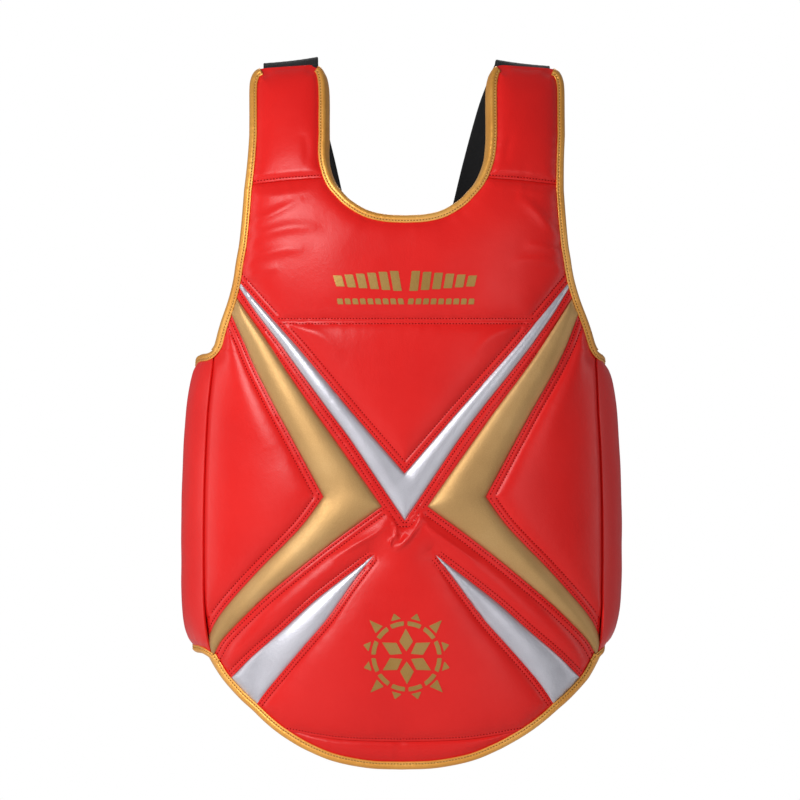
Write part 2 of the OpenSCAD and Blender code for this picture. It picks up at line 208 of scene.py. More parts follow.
def inside(points, ring):
    """Whether each point is inside the ring."""
    x, y = points[:, 0:1], points[:, 1:2]
    a, b = ring, np.roll(ring, -1, axis=0)
    cross = (a[:, 1] > y) != (b[:, 1] > y)
    with np.errstate(divide="ignore", invalid="ignore"):
        at = (b[:, 0] - a[:, 0]) * (y - a[:, 1]) / (b[:, 1] - a[:, 1]) + a[:, 0]
    return (cross & (x < at)).sum(axis=1) % 2 == 1


# ---------------------------------------------------------------- outlines, right half, front view
neck = smooth([[0, 497], [18, 498], [34, 502], [49, 511], [58, 520], [64.5, 528], [69.8, 540], [72.8, 554],
               [73.4, 580], [73.4, 602], [73.8, 616], [75, 625], [77.6, 631.8], [81.5, 634.8], [86, 635.8]])
arm = smooth([[130, 633.4], [135, 632.4], [139.5, 628.8], [142.4, 622], [143.4, 612], [143.2, 583],
              [143.4, 547], [145.3, 511], [148.4, 475], [151.3, 457], [154.3, 439], [159.3, 421], [166, 403],
              [169.6, 392], [171.4, 385.5], [173.2, 380.2], [175.6, 376.6]])
hem = smooth([[0, 0], [30, 1.2], [61, 7], [84, 16], [101, 25], [115, 34], [126.5, 43], [136.5, 52],
              [147, 61], [156, 70], [164, 78.8], [169, 86], [173, 92.6], [176.4, 99]])
side_z = np.arange(98, 374, 2.0)
side = np.stack([seam_x(side_z), side_z], axis=1)
top_seam = smooth([[69.5, 531], [77, 530.6], [107, 528.6], [136, 525.6], [143.4, 524.8]])
CHEST_Z = 401.6
V_TOP_Z = 265.0
V_RISE = 1.157
v_meet = (CHEST_Z - V_TOP_Z) / V_RISE
v_top = straight([[0, V_TOP_Z], [v_meet, CHEST_Z], [150, V_TOP_Z + V_RISE * 150]])
v_low = smooth([[0, 222.4], [25, 259.5], [49.3, 295.7], [72, 326], [95.7, 357], [115, 383], [134, 409],
                [150, 434]])
chevron_up = smooth([[20.4, 235.2], [53, 281.5], [79, 318], [105, 354], [128, 388], [153, 425]])
chevron_down = smooth([[20.4, 235.2], [61, 205.5], [96, 178], [127, 152], [149, 131], [164, 115],
                       [171, 103.5]])
fork_up = smooth([[73, 244], [86, 268], [100, 294], [118, 327], [135.7, 360], [147, 385], [158, 411.5]])
fork_down = smooth([[73, 244], [90.4, 220], [107, 202], [124.8, 184], [141.5, 166], [159.6, 145.3],
                    [170, 131], [176.5, 118]])
dart_high = smooth([[27.5, 192], [41, 181.5], [55, 171], [83, 149], [110, 124.6], [136, 102], [151, 87],
                    [161.5, 76]])
dart_low = smooth([[27.5, 192], [46, 167.6], [59, 149.5], [72.5, 131.4], [93.6, 107.3], [112.6, 85],
                   [125, 69.4], [137, 52.5]])
hem_seam = smooth([[0, 24.2], [30, 24.8], [56, 26], [80, 29.2], [96, 32], [108, 33.6], [115.5, 34.4]])


def until(line, stop, reach=25.0):
    """The line as far as its first crossing with another line, run on straight at its end if need be."""
    run_on = line[-1] + (line[-1] - line[-2]) / np.linalg.norm(line[-1] - line[-2]) * reach
    path = np.vstack([line, run_on])
    for i in range(len(path) - 1):
        p, r = path[i], path[i + 1] - path[i]
        q, s = stop[:-1], np.diff(stop, axis=0)
        cross = r[0] * s[:, 1] - r[1] * s[:, 0]
        cross = np.where(np.abs(cross) < 1e-9, 1e-9, cross)
        u = ((q[:, 0] - p[0]) * s[:, 1] - (q[:, 1] - p[1]) * s[:, 0]) / cross
        v = ((q[:, 0] - p[0]) * r[1] - (q[:, 1] - p[1]) * r[0]) / cross
        hit = np.where((u > 1e-6) & (u <= 1) & (v >= 0) & (v <= 1))[0]
        if len(hit):
            return np.vstack([path[:i + 1], p + r * u[hit].min()])
    return line


def between(line, a, b):
    """The part of a line from a to b, two points that lie on it."""
    i = int(np.argmin(np.linalg.norm(line - a, axis=1)))
    j = int(np.argmin(np.linalg.norm(line - b, axis=1)))
    part = line[i:j + 1] if i <= j else line[j:i + 1][::-1]
    inner = [p for p in part if np.linalg.norm(p - a) > 0.9 and np.linalg.norm(p - b) > 0.9]
    return np.vstack([[a], inner, [b]]) if inner else np.vstack([a, b])


def nearest(points, line, ends=False):
    """How far each point is from a line, how far along it the nearest place is, and how far past its ends."""
    best = np.full(len(points), 1e9)
    along = np.zeros(len(points))
    a, d = line[:-1], np.diff(line, axis=0)
    length = np.linalg.norm(d, axis=1)
    start = np.concatenate([[0], np.cumsum(length)[:-1]])
    for k in range(0, len(points), 3000):
        p = points[k:k + 3000, None, :]
        s = np.clip(((p - a) * d).sum(-1) / np.maximum(length**2, 1e-12), 0, 1)
        far = np.linalg.norm(p - a - s[..., None] * d, axis=-1)
        i = far.argmin(axis=1)
        rows = np.arange(len(far))
        best[k:k + 3000] = far[rows, i]
        along[k:k + 3000] = start[i] + s[rows, i] * length[i]
    if not ends:
        return best, along
    over = np.zeros(len(points))
    for end, toward in ((line[0], line[0] - line[1]), (line[-1], line[-1] - line[-2])):
        step = (points - end) @ (toward / np.linalg.norm(toward))
        at_end = np.linalg.norm(points - end, axis=1) < best + 1e-6
        over = np.maximum(over, np.where(at_end, np.maximum(step, 0), 0))
    return best, along, over


def rough(points, scale, seed=0.0):
    """Smooth noise, about -1 to 1, with features of the given size."""
    p = np.asarray(points, float)
    if p.ndim == 1:
        p = np.stack([p, 0 * p], axis=1)
    return np.array([noise.noise(Vector((x / scale, y / scale, seed))) for x, y in p[:, :2]])


def bump(d, centre, width):
    return np.exp(-((d - centre) / width) ** 2)


# ---------------------------------------------------------------- meshes
def mesh_object(name, points_mm, faces, material, uv=None, sharp=60):
    mesh = bpy.data.meshes.new(name)
    mesh.from_pydata((np.asarray(points_mm) * MM).tolist(), [], faces)
    mesh.validate()
    mesh.update()
    mesh.materials.append(material)
    mesh.polygons.foreach_set("use_smooth", [True] * len(mesh.polygons))
    mesh.set_sharp_from_angle(angle=math.radians(sharp))
    if uv is not None:
        layer = mesh.uv_layers.new(name="weave")
        index = np.empty(len(mesh.loops), int)
        mesh.loops.foreach_get("vertex_index", index)
        layer.data.foreach_set("uv", np.asarray(uv)[index].ravel())
    obj = bpy.data.objects.new(name, mesh)
    scene.collection.objects.link(obj)
    return obj


def outward(obj):
    """Turns the faces of a closed mesh to the outside."""
    bm = bmesh.new()
    bm.from_mesh(obj.data)
    bmesh.ops.recalc_face_normals(bm, faces=bm.faces)
    bm.to_mesh(obj.data)
    bm.free()
    return obj


def triangulated(points, n):
    """The points and triangles inside the ring that the first n points make."""
    out = delaunay_2d_cdt([Vector(p) for p in points], [(i, (i + 1) % n) for i in range(n)], [], 1, 1e-4)
    return np.array([(v.x, v.y) for v in out[0]]), [tuple(f) for f in out[2] if len(f) == 3]


def rim_of(triangles):
    """The outer edges of a triangulation, each in its triangle's direction."""
    seen = {(a, b): 1 for f in triangles for a, b in ((f[0], f[1]), (f[1], f[2]), (f[2], f[0]))}
    return [(a, b) for a, b in seen if (b, a) not in seen]


def tube_faces(rings, m):
    """The faces of a closed tube of so many rings with m points each."""
    faces = [(i * m + k, i * m + (k + 1) % m, (i + 1) * m + (k + 1) % m, (i + 1) * m + k)
             for i in range(rings - 1) for k in range(m)]
    return faces + [tuple(range(m))[::-1], tuple((rings - 1) * m + k for k in range(m))]


def edge_kind(flat, dip, reach, rows=(), gather=0.0):
    """The width that stays flat beside an edge, the extra depth at it and how far that reaches, its stitch
    rows, and how high the leather gathers past it. With flat None an edge doesn't hold the leather down."""
    return dict(flat=flat, dip=dip, reach=reach, rows=rows, gather=gather)


KINDS = {
    "fold": edge_kind(7.4, 0.5, 0.9, (2.5, 7.0), 0.22),
    "fold_near": edge_kind(5.4, 0.5, 0.9, (2.0, 5.0), 0.2),
    "lip": edge_kind(30.0, 0.8, 1.2),
    "tuck": edge_kind(0.0, 0.9, 1.3, gather=0.16),
    "row": edge_kind(3.2, 0.6, 0.8, (2.3,), 0.4),
    "bare_row": edge_kind(3.2, 0.6, 0.8, (2.3,), 0.9),
    "under": edge_kind(0.5, 1.3, 1.5, gather=0.8),
    "crease": edge_kind(None, 2.4, 1.3),
    "bound": edge_kind(6.6, 2.6, 6.0, gather=0.7),
    "pinch": edge_kind(2.0, 1.2, 6.0, gather=0.4),
    "flush": edge_kind(None, 0.0, 1.0),
}
SEAM_T = 2.7            # depth of the leather at a seam, and under the binding
BOUND_T = 3.3
SKIN_BACK = 4.3         # the leather's inner face, at least
PITCH = 2.75            # from one stitch to the next
EDGE_POWER = 3.0        # how sharply the nearest edge decides how much room there is to puff
EDGE_ROOM = 0.35
ROW_KEEP = 0.93         # a stitch row stays this share of its distance from every other edge


class Panel:
    """A sewn panel: a ring of edges in its view plane, each (line, kind), and its depth everywhere."""

    def __init__(self, edges, puff=3.5, crown=1.4, width=28.0, at=front_point, touching=(), ridges=(),
                 seed=0.0, slack=0.35, steep=6.0, extra=None):
        self.edges = edges
        self.touching = list(touching)
        self.puff, self.crown, self.width, self.at = puff, crown, width, at
        self.steep, self.extra = steep, extra
        self.ridges = [(smooth(points), height, wide) for points, height, wide in ridges]
        self.seed, self.slack = seed, slack
        self.ring = joined(*[resample(line, 2.75) if len(line) > 1 else line for line, _ in edges])
        if np.linalg.norm(self.ring[0] - self.ring[-1]) < 0.05:
            self.ring = self.ring[:-1]

    def depth(self, p):
        """Depth under the smooth torso surface at view positions p."""
        share = np.full(len(p), 1e-9)
        local = np.zeros(len(p))
        dip = np.zeros(len(p))
        for line, kind in self.edges + self.touching:
            k = KINDS[kind]
            d, s, over = nearest(p, line, True)
            dip = np.maximum(dip, k["dip"] * np.exp(-(d / k["reach"]) ** 2))
            if k["flat"] is None:
                continue
            share += (np.maximum(d - k["flat"], 0) + EDGE_ROOM) ** -EDGE_POWER
            square = np.exp(-(over / 1.2) ** 2)
            for row in k["rows"]:
                local += 0.55 * bump(d, row, 0.7) * square
            if len(k["rows"]) == 2:
                local -= 0.35 * bump(d, sum(k["rows"]) / 2, 1.4) * square
            if k["gather"]:
                start = k["flat"] + 0.5
                hem = np.exp(-(np.maximum(d - start, 0) / 8.0)) * (1 - np.exp(-(d / 1.5) ** 2))
                pleats = rough(s, 7.0, self.seed + 3) + 0.6 * rough(s, 3.6, self.seed + 5)
                local += k["gather"] * hem * pleats
        room = share ** (-1 / EDGE_POWER)
        t = SEAM_T + local + dip
        if self.extra:
            t += self.extra(p)
        t -= self.puff * (1 - np.exp(-room / self.steep))
        t -= self.crown * (1 - np.exp(-room / self.width))
        t += self.slack * rough(p, 34.0, self.seed) * np.minimum(room / 12, 1)
        for line, height, wide in self.ridges:
            d, s = nearest(p, line)
            total = np.linalg.norm(np.diff(line, axis=0), axis=1).sum()
            ends = np.sin(np.pi * np.clip(s / total, 0.0, 1.0)) ** 0.7
            t -= height * bump(d, 0, wide) * ends
        return t

    def plan(self, spacing, ring_step, rows):
        """Points and triangles over the panel, in its view plane."""
        ring = resample(closed(self.ring), ring_step)[:-1] if ring_step > 3 else self.ring
        points = [ring]
        rim = closed(ring)
        area = 0.5 * np.sum(ring[:, 0] * np.roll(ring[:, 1], -1) - ring[:, 1] * np.roll(ring[:, 0], -1))
        for d in rows:
            inner = offset(rim, d if area > 0 else -d)[:-1]
            inner = inner[inside(inner, ring)]
            if len(inner):
                inner = inner[nearest(inner, rim)[0] > ROW_KEEP * d]
                points.append(inner)
        low, high = ring.min(axis=0), ring.max(axis=0)
        gx, gz = np.meshgrid(np.arange(low[0], high[0], spacing), np.arange(low[1], high[1], spacing * 0.866))
        gx = gx + (np.arange(len(gx)) % 2)[:, None] * spacing / 2
        grid = np.stack([gx.ravel(), gz.ravel()], axis=1)
        grid = grid[inside(grid, ring)]
        margin = (rows[-1] if rows else 0) + spacing * 0.6
        if len(grid):
            grid = grid[nearest(grid, rim)[0] > margin]
            points.append(grid)
        points = np.vstack(points)
        for line, _, wide in self.ridges:
            own = resample(line, 1.6)
            points = points[(nearest(points, rim)[0] < margin) | (nearest(points, own)[0] > 1.9 * wide)]
            rows_here = [offset(own, wide * k) for k in (-1.6, -1.1, -0.6, -0.2, 0.2, 0.6, 1.1, 1.6)]
            extra = np.vstack(rows_here)
            extra = extra[inside(extra, ring)]
            extra = extra[nearest(extra, rim)[0] > margin - 0.4 * spacing]
            points = np.vstack([points, extra])
        return triangulated(points, len(ring))


ROWS = (1.2, 2.5, 3.8, 5.3, 7.0, 8.4, 10.2, 12.4)


def close_sheet(name, outer, inner, faces, material):
    """A closed piece from its outer and inner points, which share one triangulation."""
    n = len(outer)
    walls = [(b, a, a + n, b + n) for a, b in rim_of(faces)]
    back = [(f[2] + n, f[1] + n, f[0] + n) for f in faces]
    return outward(mesh_object(name, np.vstack([outer, inner]), faces + back + walls, material, sharp=50))


def skin_piece(name, panel, material, spacing=4.2, rows=ROWS):
    """The leather of a panel, closed at the back."""
    p, faces = panel.plan(spacing, 2.75, rows)
    t = panel.depth(p)
    return close_sheet(name, panel.at(p, t), panel.at(p, np.maximum(t + 1.1, SKIN_BACK)), faces, material)


def layer_piece(name, panel, material, top, end, rim, rim_reach=9.0, spacing=9.0, seed=0.0, waves=0.0):
    """A layer inside: between two depths, and pressed to the middle depth rim near the outline."""
    p, faces = panel.plan(spacing, 7.0, (3.0, 7.0))
    d = np.full(len(p), 1e9)
    for line, kind in panel.edges:
        if kind != "crease":
            d = np.minimum(d, nearest(p, line)[0])
    press = np.exp(-(d / rim_reach) ** 2)
    wave = waves * rough(p, 26.0, seed) * (1 - press)
    thick = (end - top) * (1 - 0.55 * press)
    middle = (top + end) / 2 * (1 - press) + rim * press + wave
    high, low = middle - thick / 2, middle + thick / 2
    if panel.extra:
        high = np.maximum(high, np.minimum(SEAM_T + panel.extra(p) + 1.5, low - 0.8))
    return close_sheet(name, panel.at(p, high), panel.at(p, low), faces, material)


def band_piece(name, path, across, width, thick, material, edge_ribs=0.12, step=2.0):
    """Flat webbing swept along a 3D path; across holds the width's direction at each path point."""
    path, across = np.asarray(path, float), np.asarray(across, float)
    length = np.concatenate([[0], np.cumsum(np.linalg.norm(np.diff(path, axis=0), axis=1))])
    n = max(4, int(length[-1] / step))
    at = np.linspace(0, length[-1], n + 1)
    path = np.stack([np.interp(at, length, path[:, k]) for k in range(3)], axis=1)
    across = np.stack([np.interp(at, length, across[:, k]) for k in range(3)], axis=1)
    along = np.gradient(path, axis=0)
    along /= np.linalg.norm(along, axis=1, keepdims=True)
    across -= (across * along).sum(1, keepdims=True) * along
    across /= np.linalg.norm(across, axis=1, keepdims=True)
    out = np.cross(across, along)
    h, w = thick / 2, width / 2
    us = np.concatenate([[-w + 0.15], np.linspace(-w + 0.7, w - 0.7, 23), [w - 0.15]])
    rib = h - edge_ribs * (1 - np.cos((us + w) / width * 2 * np.pi * 8)) / 2
    rib[0] = rib[-1] = h * 0.55
    ring_u = np.concatenate([us, [w], us[::-1], [-w]])
    ring_h = np.concatenate([rib, [0], -rib[::-1], [0]])
    m = len(ring_u)
    points = path[:, None] + across[:, None] * ring_u[None, :, None] + out[:, None] * ring_h[None, :, None]
    faces = tube_faces(n + 1, m)
    uv = np.stack([np.tile(ring_u, n + 1), np.repeat(at, m)], axis=1)
    return outward(mesh_object(name, points.reshape(-1, 3), faces, material, uv=uv, sharp=70))


BINDING_WIDE = 7.2


def binding_piece(name, edge, at, seed, skin=None):
    """Gathered tape folded over a padded edge: one U-shaped section swept along the edge line."""
    line = resample(edge, 1.5)
    left = normals(line)
    wide = BINDING_WIDE
    top = (skin(line + left * 5.0) if skin else np.zeros(len(line))) + BOUND_T
    # Section from the front's inner edge round the outside to the back's inner edge: how far in from the
    # edge, depth from the leather, and the share of that leather's own depth that it follows
    front = [[wide + 0.1, 0.9, 1], [wide, -0.5, 1], [wide - 0.7, -1.0, 1], [wide - 1.5, -1.0, 1],
             [wide - 2.0, -0.55, 1], [wide - 2.6, -1.15, 1], [3.4, -1.5, 1], [2.2, -1.2, 1], [1.1, -0.3, 1],
             [0.3, 1.3, 1], [0.0, 3.6, 0.8]]
    back = [[0.0, 9.5, 0.4], [0.1, 12.6, 0.1], [0.8, 14.9, 0], [2.2, 16.4, 0], [4.2, 17.1, 0],
            [wide - 0.5, 17.2, 0], [wide, 16.6, 0], [wide - 0.1, 15.8, 0], [4.2, 15.7, 0], [2.2, 14.6, 0],
            [1.2, 12.2, 0.1], [1.2, 8.5, 0.5]]
    inner = [[2.0, 3.4, 1], [3.6, 2.2, 1], [wide - 0.2, 1.8, 1]]
    section = arr(front + [[d, t - BOUND_T, follow] for d, t, follow in back] + inner)
    m, n = len(section), len(line)
    s = np.concatenate([[0], np.cumsum(np.linalg.norm(np.diff(line, axis=0), axis=1))])
    wrinkle = rough(s, 2.6, seed) + 0.8 * rough(s, 1.4, seed + 4)
    points = np.zeros((n, m, 3))
    for k, (d, t, follow) in enumerate(section):
        crumple = bump(d, 3.0, 2.4) if k < 14 else 0.0
        depth = BOUND_T + t + (top - BOUND_T) * follow - 0.42 * wrinkle * crumple
        points[:, k] = at(line + left * d, depth)
    return outward(mesh_object(name, points.reshape(-1, 3), tube_faces(n, m), TRIM, sharp=80))


class Thread:
    """Stitches and needle holes: one mesh of small thread capsules, and one of small dark flat capsules on
    the leather that paint the shade in the needle holes.
    """

    def __init__(self):
        self.points, self.faces = [], []
        self.hole_points, self.hole_shade_faces = [], []

    @staticmethod
    def capsule(a, b, radius, up, flat=0.6):
        ring = [(-1.0, 0.0), (-0.82, 0.75), (0.0, 1.0), (0.82, 0.75), (1.0, 0.0)]
        axis = b - a
        half = np.linalg.norm(axis) / 2
        d = axis / (2 * half)
        side = np.cross(up, d)
        side /= np.linalg.norm(side)
        top = np.cross(d, side)
        points = [a]
        for along, r in ring[1:-1]:
            for k in range(6):
                c = math.cos(k * math.pi / 3) * radius * r
                h = math.sin(k * math.pi / 3) * radius * r * flat
                points.append((a + b) / 2 + d * along * half + side * c + top * h)
        points.append(b)
        faces = [(0, 1 + (k + 1) % 6, 1 + k) for k in range(6)]
        for j in range(2):
            faces += [(1 + 6 * j + k, 1 + 6 * j + (k + 1) % 6, 7 + 6 * j + (k + 1) % 6, 7 + 6 * j + k)
                      for k in range(6)]
        faces += [(19, 13 + k, 13 + (k + 1) % 6) for k in range(6)]
        return points, faces

    def add(self, line, at, depth, lift=0.14, pitch=PITCH, radius=0.36):
        """A row of stitches along a view plane line, at the depth that depth(points) gives."""
        n = max(1, int(np.linalg.norm(np.diff(line, axis=0), axis=1).sum() / pitch))
        p = resample(line, np.linalg.norm(np.diff(line, axis=0), axis=1).sum() / n)
        t = depth(p)
        here = at(p, t - lift)
        deeper = at(p, t + 1.0)
        for i in range(len(p) - 1):
            up = here[i] - deeper[i]
            up /= np.linalg.norm(up)
            a = here[i] * 0.76 + here[i + 1] * 0.24
            b = here[i] * 0.24 + here[i + 1] * 0.76
            self._push(self.points, self.faces, self.capsule(a, b, radius, up))
            # painted shade: a small flat dark capsule on the leather at each stitch stands in for the shaded
            # needle holes
            hole = here[i] + up * 0.06
            step = (here[i + 1] - here[i]) * 0.25
            self._push(self.hole_points, self.hole_shade_faces,
                       self.capsule(hole - step, hole + step, radius * 1.7, up, 0.5))

    @staticmethod
    def _push(points, faces, piece):
        base = len(points)
        points.extend(piece[0])
        faces.extend([tuple(base + i for i in f) for f in piece[1]])

    def make(self, name, thread_material, hole_shade_material):
        made = []
        # the needle holes part is painted shade, dark capsules on the surface rather than cut holes
        for part, pts, fcs, mat in (("thread", self.points, self.faces, thread_material),
                                    ("needle_hole_shades", self.hole_points, self.hole_shade_faces, hole_shade_material)):
            if pts:
                obj = mesh_object(f"{name}_{part}", pts, fcs, mat, sharp=180)
                made.append(obj)
        return made


# ---------------------------------------------------------------- camera and light
def aim(obj, target):
    obj.rotation_euler = (Vector(target) - obj.location).to_track_quat("-Z", "Y").to_euler()


VIEW_CENTRE = (-0.0036, -0.10, 0.3308)
VIEW_DISTANCE = 8.0
VIEW_WIDTH = 0.72

camera_data = bpy.data.cameras.new("camera")
camera_data.sensor_width = 36
camera_data.lens = 36 * VIEW_DISTANCE / VIEW_WIDTH
camera_data.clip_end = 100
camera = bpy.data.objects.new("camera", camera_data)
scene.collection.objects.link(camera)
YAW = math.radians(1.3)
camera.location = (VIEW_CENTRE[0] - VIEW_DISTANCE * math.sin(YAW),
                   VIEW_CENTRE[1] - VIEW_DISTANCE * math.cos(YAW), VIEW_CENTRE[2])
aim(camera, VIEW_CENTRE)
scene.camera = camera
scene.view_settings.view_transform = "Standard"


def softbox(name, place_at, size, watts):
    data = bpy.data.lights.new(name, "AREA")
    data.shape = "RECTANGLE"
    data.size, data.size_y = size
    data.energy = watts
    light = bpy.data.objects.new(name, data)
    light.location = place_at
    scene.collection.objects.link(light)
    aim(light, VIEW_CENTRE)


softbox("key", (-1.65, -2.2, 1.45), (1.2, 1.2), 68)
softbox("fill", (1.6, -2.6, 0.5), (1.2, 1.6), 11)
softbox("left_rim", (-2.2, 0.3, 0.5), (0.5, 1.4), 7)
softbox("right_rim", (2.2, 0.4, 0.4), (0.4, 1.4), 4)
softbox("back", (0.2, 3.0, 2.0), (1.4, 1.2), 26)

world = bpy.data.worlds.new("studio")
scene.world = world
world.use_nodes = True
wn, wl = world.node_tree.nodes, world.node_tree.links
wn.clear()
background = wn.new("ShaderNodeBackground")
backdrop = wn.new("ShaderNodeBackground")
mix_world = wn.new("ShaderNodeMixShader")
path_kind = wn.new("ShaderNodeLightPath")
world_out = wn.new("ShaderNodeOutputWorld")
background.inputs["Color"].default_value = (0.92, 0.95, 1.0, 1)
background.inputs["Strength"].default_value = 0.2
backdrop.inputs["Color"].default_value = (1, 1, 1, 1)
backdrop.inputs["Strength"].default_value = 1.0
wl.new(path_kind.outputs["Is Camera Ray"], mix_world.inputs["Fac"])
wl.new(background.outputs[0], mix_world.inputs[1])
wl.new(backdrop.outputs[0], mix_world.inputs[2])
wl.new(mix_world.outputs[0], world_out.inputs["Surface"])


# ---------------------------------------------------------------- materials
class Maker:
    """Builds one node material; lengths are in metres in object space."""

    def __init__(self, name):
        self.material = bpy.data.materials.new(name)
        self.material.use_nodes = True
        self.nodes, self.links = self.material.node_tree.nodes, self.material.node_tree.links
        self.nodes.clear()
        self.shader = self.node("ShaderNodeBsdfPrincipled")
        out = self.node("ShaderNodeOutputMaterial")
        self.links.new(self.shader.outputs[0], out.inputs["Surface"])
        self.where = self.node("ShaderNodeTexCoord").outputs["Object"]
        self.height = None

    def node(self, kind, **values):
        node = self.nodes.new(kind)
        for key, value in values.items():
            setattr(node, key, value)
        return node

    def set(self, **values):
        for key, value in values.items():
            self.shader.inputs[key.replace("_", " ")].default_value = value
        return self

    def noise(self, scale, detail):
        node = self.node("ShaderNodeTexNoise")
        node.inputs["Scale"].default_value = scale
        node.inputs["Detail"].default_value = detail
        self.links.new(self.where, node.inputs["Vector"])
        return node.outputs["Fac"]

    def cells(self, scale):
        node = self.node("ShaderNodeTexVoronoi", feature="F1")
        node.inputs["Scale"].default_value = scale
        self.links.new(self.where, node.inputs["Vector"])
        return node.outputs["Distance"]

    def ramp(self, source, stops):
        node = self.node("ShaderNodeValToRGB")
        ramp = node.color_ramp
        while len(ramp.elements) < len(stops):
            ramp.elements.new(0.5)
        for element, (position, colour) in zip(ramp.elements, stops):
            element.position = position
            element.color = (*colour, 1)
        self.links.new(source, node.inputs[0])
        return node.outputs[0]

    def span(self, source, low, high, start=0.0, stop=1.0):
        node = self.node("ShaderNodeMapRange")
        for key, value in (("From Min", start), ("From Max", stop), ("To Min", low), ("To Max", high)):
            node.inputs[key].default_value = value
        self.links.new(source, node.inputs["Value"])
        return node.outputs[0]

    def sums(self, a, b, kind="ADD"):
        node = self.node("ShaderNodeMath", operation=kind)
        for socket, value in ((node.inputs[0], a), (node.inputs[1], b)):
            if isinstance(value, (int, float)):
                socket.default_value = value
            else:
                self.links.new(value, socket)
        return node.outputs[0]

    def colour(self, source):
        self.links.new(source, self.shader.inputs["Base Color"])
        return self

    def roughness(self, source):
        self.links.new(source, self.shader.inputs["Roughness"])
        return self

    def bump(self, source, metres):
        node = self.node("ShaderNodeBump")
        node.inputs["Strength"].default_value = 1.0
        node.inputs["Distance"].default_value = metres
        self.links.new(source, node.inputs["Height"])
        if self.height is not None:
            self.links.new(self.height, node.inputs["Normal"])
        self.height = node.outputs[0]
        self.links.new(self.height, self.shader.inputs["Normal"])
        return self


def red_leather():
    m = Maker("red_leather")
    tone = m.noise(11, 3)
    m.colour(m.ramp(tone, [(0.3, (0.65, 0.0095, 0.008)), (0.5, (0.69, 0.011, 0.009)),
                           (0.72, (0.73, 0.014, 0.011))]))
    m.roughness(m.span(m.noise(60, 3), 0.3, 0.42))
    m.set(Specular_IOR_Level=0.29)
    m.bump(m.cells(900), 0.00006)
    m.bump(m.noise(240, 3), 0.0001)
    return m.material


def metal_leather(name, dark, mid, light, rough, metallic=0.8):
    m = Maker(name)
    tone = m.noise(14, 4)
    grain = m.noise(1500, 2)
    both = m.sums(m.span(tone, 0, 0.7), m.span(grain, 0, 0.3))
    m.colour(m.ramp(both, [(0.3, dark), (0.5, mid), (0.7, light)]))
    m.roughness(m.span(m.noise(700, 2), rough - 0.05, rough + 0.09))
    m.set(Metallic=metallic, Specular_IOR_Level=0.5)
    m.bump(m.cells(1100), 0.00005)
    m.bump(m.noise(420, 3), 0.00012)
    return m.material


def thread(name, colour, rough=0.55, shine=0.15):
    m = Maker(name)
    m.colour(m.ramp(m.noise(900, 2), [(0.3, tuple(c * 0.8 for c in colour)), (0.7, colour)]))
    m.set(Roughness=rough, Specular_IOR_Level=shine)
    m.bump(m.noise(2600, 1), 0.00008)
    return m.material


def webbing(name, base, light, pitch=1.7):
    m = Maker(name)
    uv = m.node("ShaderNodeUVMap", uv_map="weave").outputs[0]
    split = m.node("ShaderNodeSeparateXYZ")
    m.links.new(uv, split.inputs[0])
    u, v = split.outputs[0], split.outputs[1]
    warp = m.sums(m.sums(m.sums(u, 2 * math.pi / pitch, "MULTIPLY"), 0, "SINE"), 0.5, "MULTIPLY")
    slant = m.sums(v, m.sums(u, 0.7, "MULTIPLY"))
    weft = m.sums(m.sums(slant, 2 * math.pi / (pitch * 0.8), "MULTIPLY"), 0, "SINE")
    weave = m.sums(m.sums(warp, weft, "MULTIPLY"), m.sums(weft, 0.35, "MULTIPLY"))
    m.colour(m.ramp(m.span(weave, 0, 1, -0.8, 0.8), [(0.15, base), (0.85, light)]))
    m.set(Roughness=0.8, Specular_IOR_Level=0.2, Sheen_Weight=0.04, Sheen_Roughness=0.5)
    m.bump(weave, 0.00022)
    m.bump(m.noise(1400, 2), 0.00008)
    return m.material


def cloth(name, dark, light, pile=0.0002, scale=900, rough=0.9):
    m = Maker(name)
    m.colour(m.ramp(m.noise(scale, 3), [(0.35, dark), (0.65, light)]))
    m.set(Roughness=rough, Specular_IOR_Level=0.25, Sheen_Weight=0.06, Sheen_Roughness=0.6)
    m.bump(m.cells(scale * 0.9), pile)
    m.bump(m.noise(40, 3), 0.0004)
    return m.material


def plastic():
    m = Maker("black_plastic")
    m.colour(m.ramp(m.noise(30, 3), [(0.3, (0.012, 0.012, 0.013)), (0.7, (0.022, 0.022, 0.024))]))
    m.roughness(m.span(m.noise(300, 3), 0.34, 0.5))
    m.set(Specular_IOR_Level=0.5)
    m.bump(m.noise(900, 2), 0.00003)
    return m.material


RED = red_leather()
GOLD = metal_leather("gold_leather", (0.47, 0.275, 0.105), (0.56, 0.340, 0.136), (0.64, 0.41, 0.182), 0.54)
SILVER = metal_leather("silver_leather", (0.52, 0.51, 0.555), (0.60, 0.59, 0.64), (0.68, 0.67, 0.72), 0.43)
TRIM = metal_leather("gold_binding", (0.68, 0.275, 0.04), (0.84, 0.39, 0.07), (0.96, 0.51, 0.13), 0.42, 0.5)
PRINT = metal_leather("gold_print", (0.36, 0.20, 0.05), (0.44, 0.255, 0.07), (0.52, 0.31, 0.10), 0.42)
RED_THREAD = thread("red_thread", (0.80, 0.05, 0.05))
GOLD_THREAD = thread("gold_thread", (0.80, 0.52, 0.20))
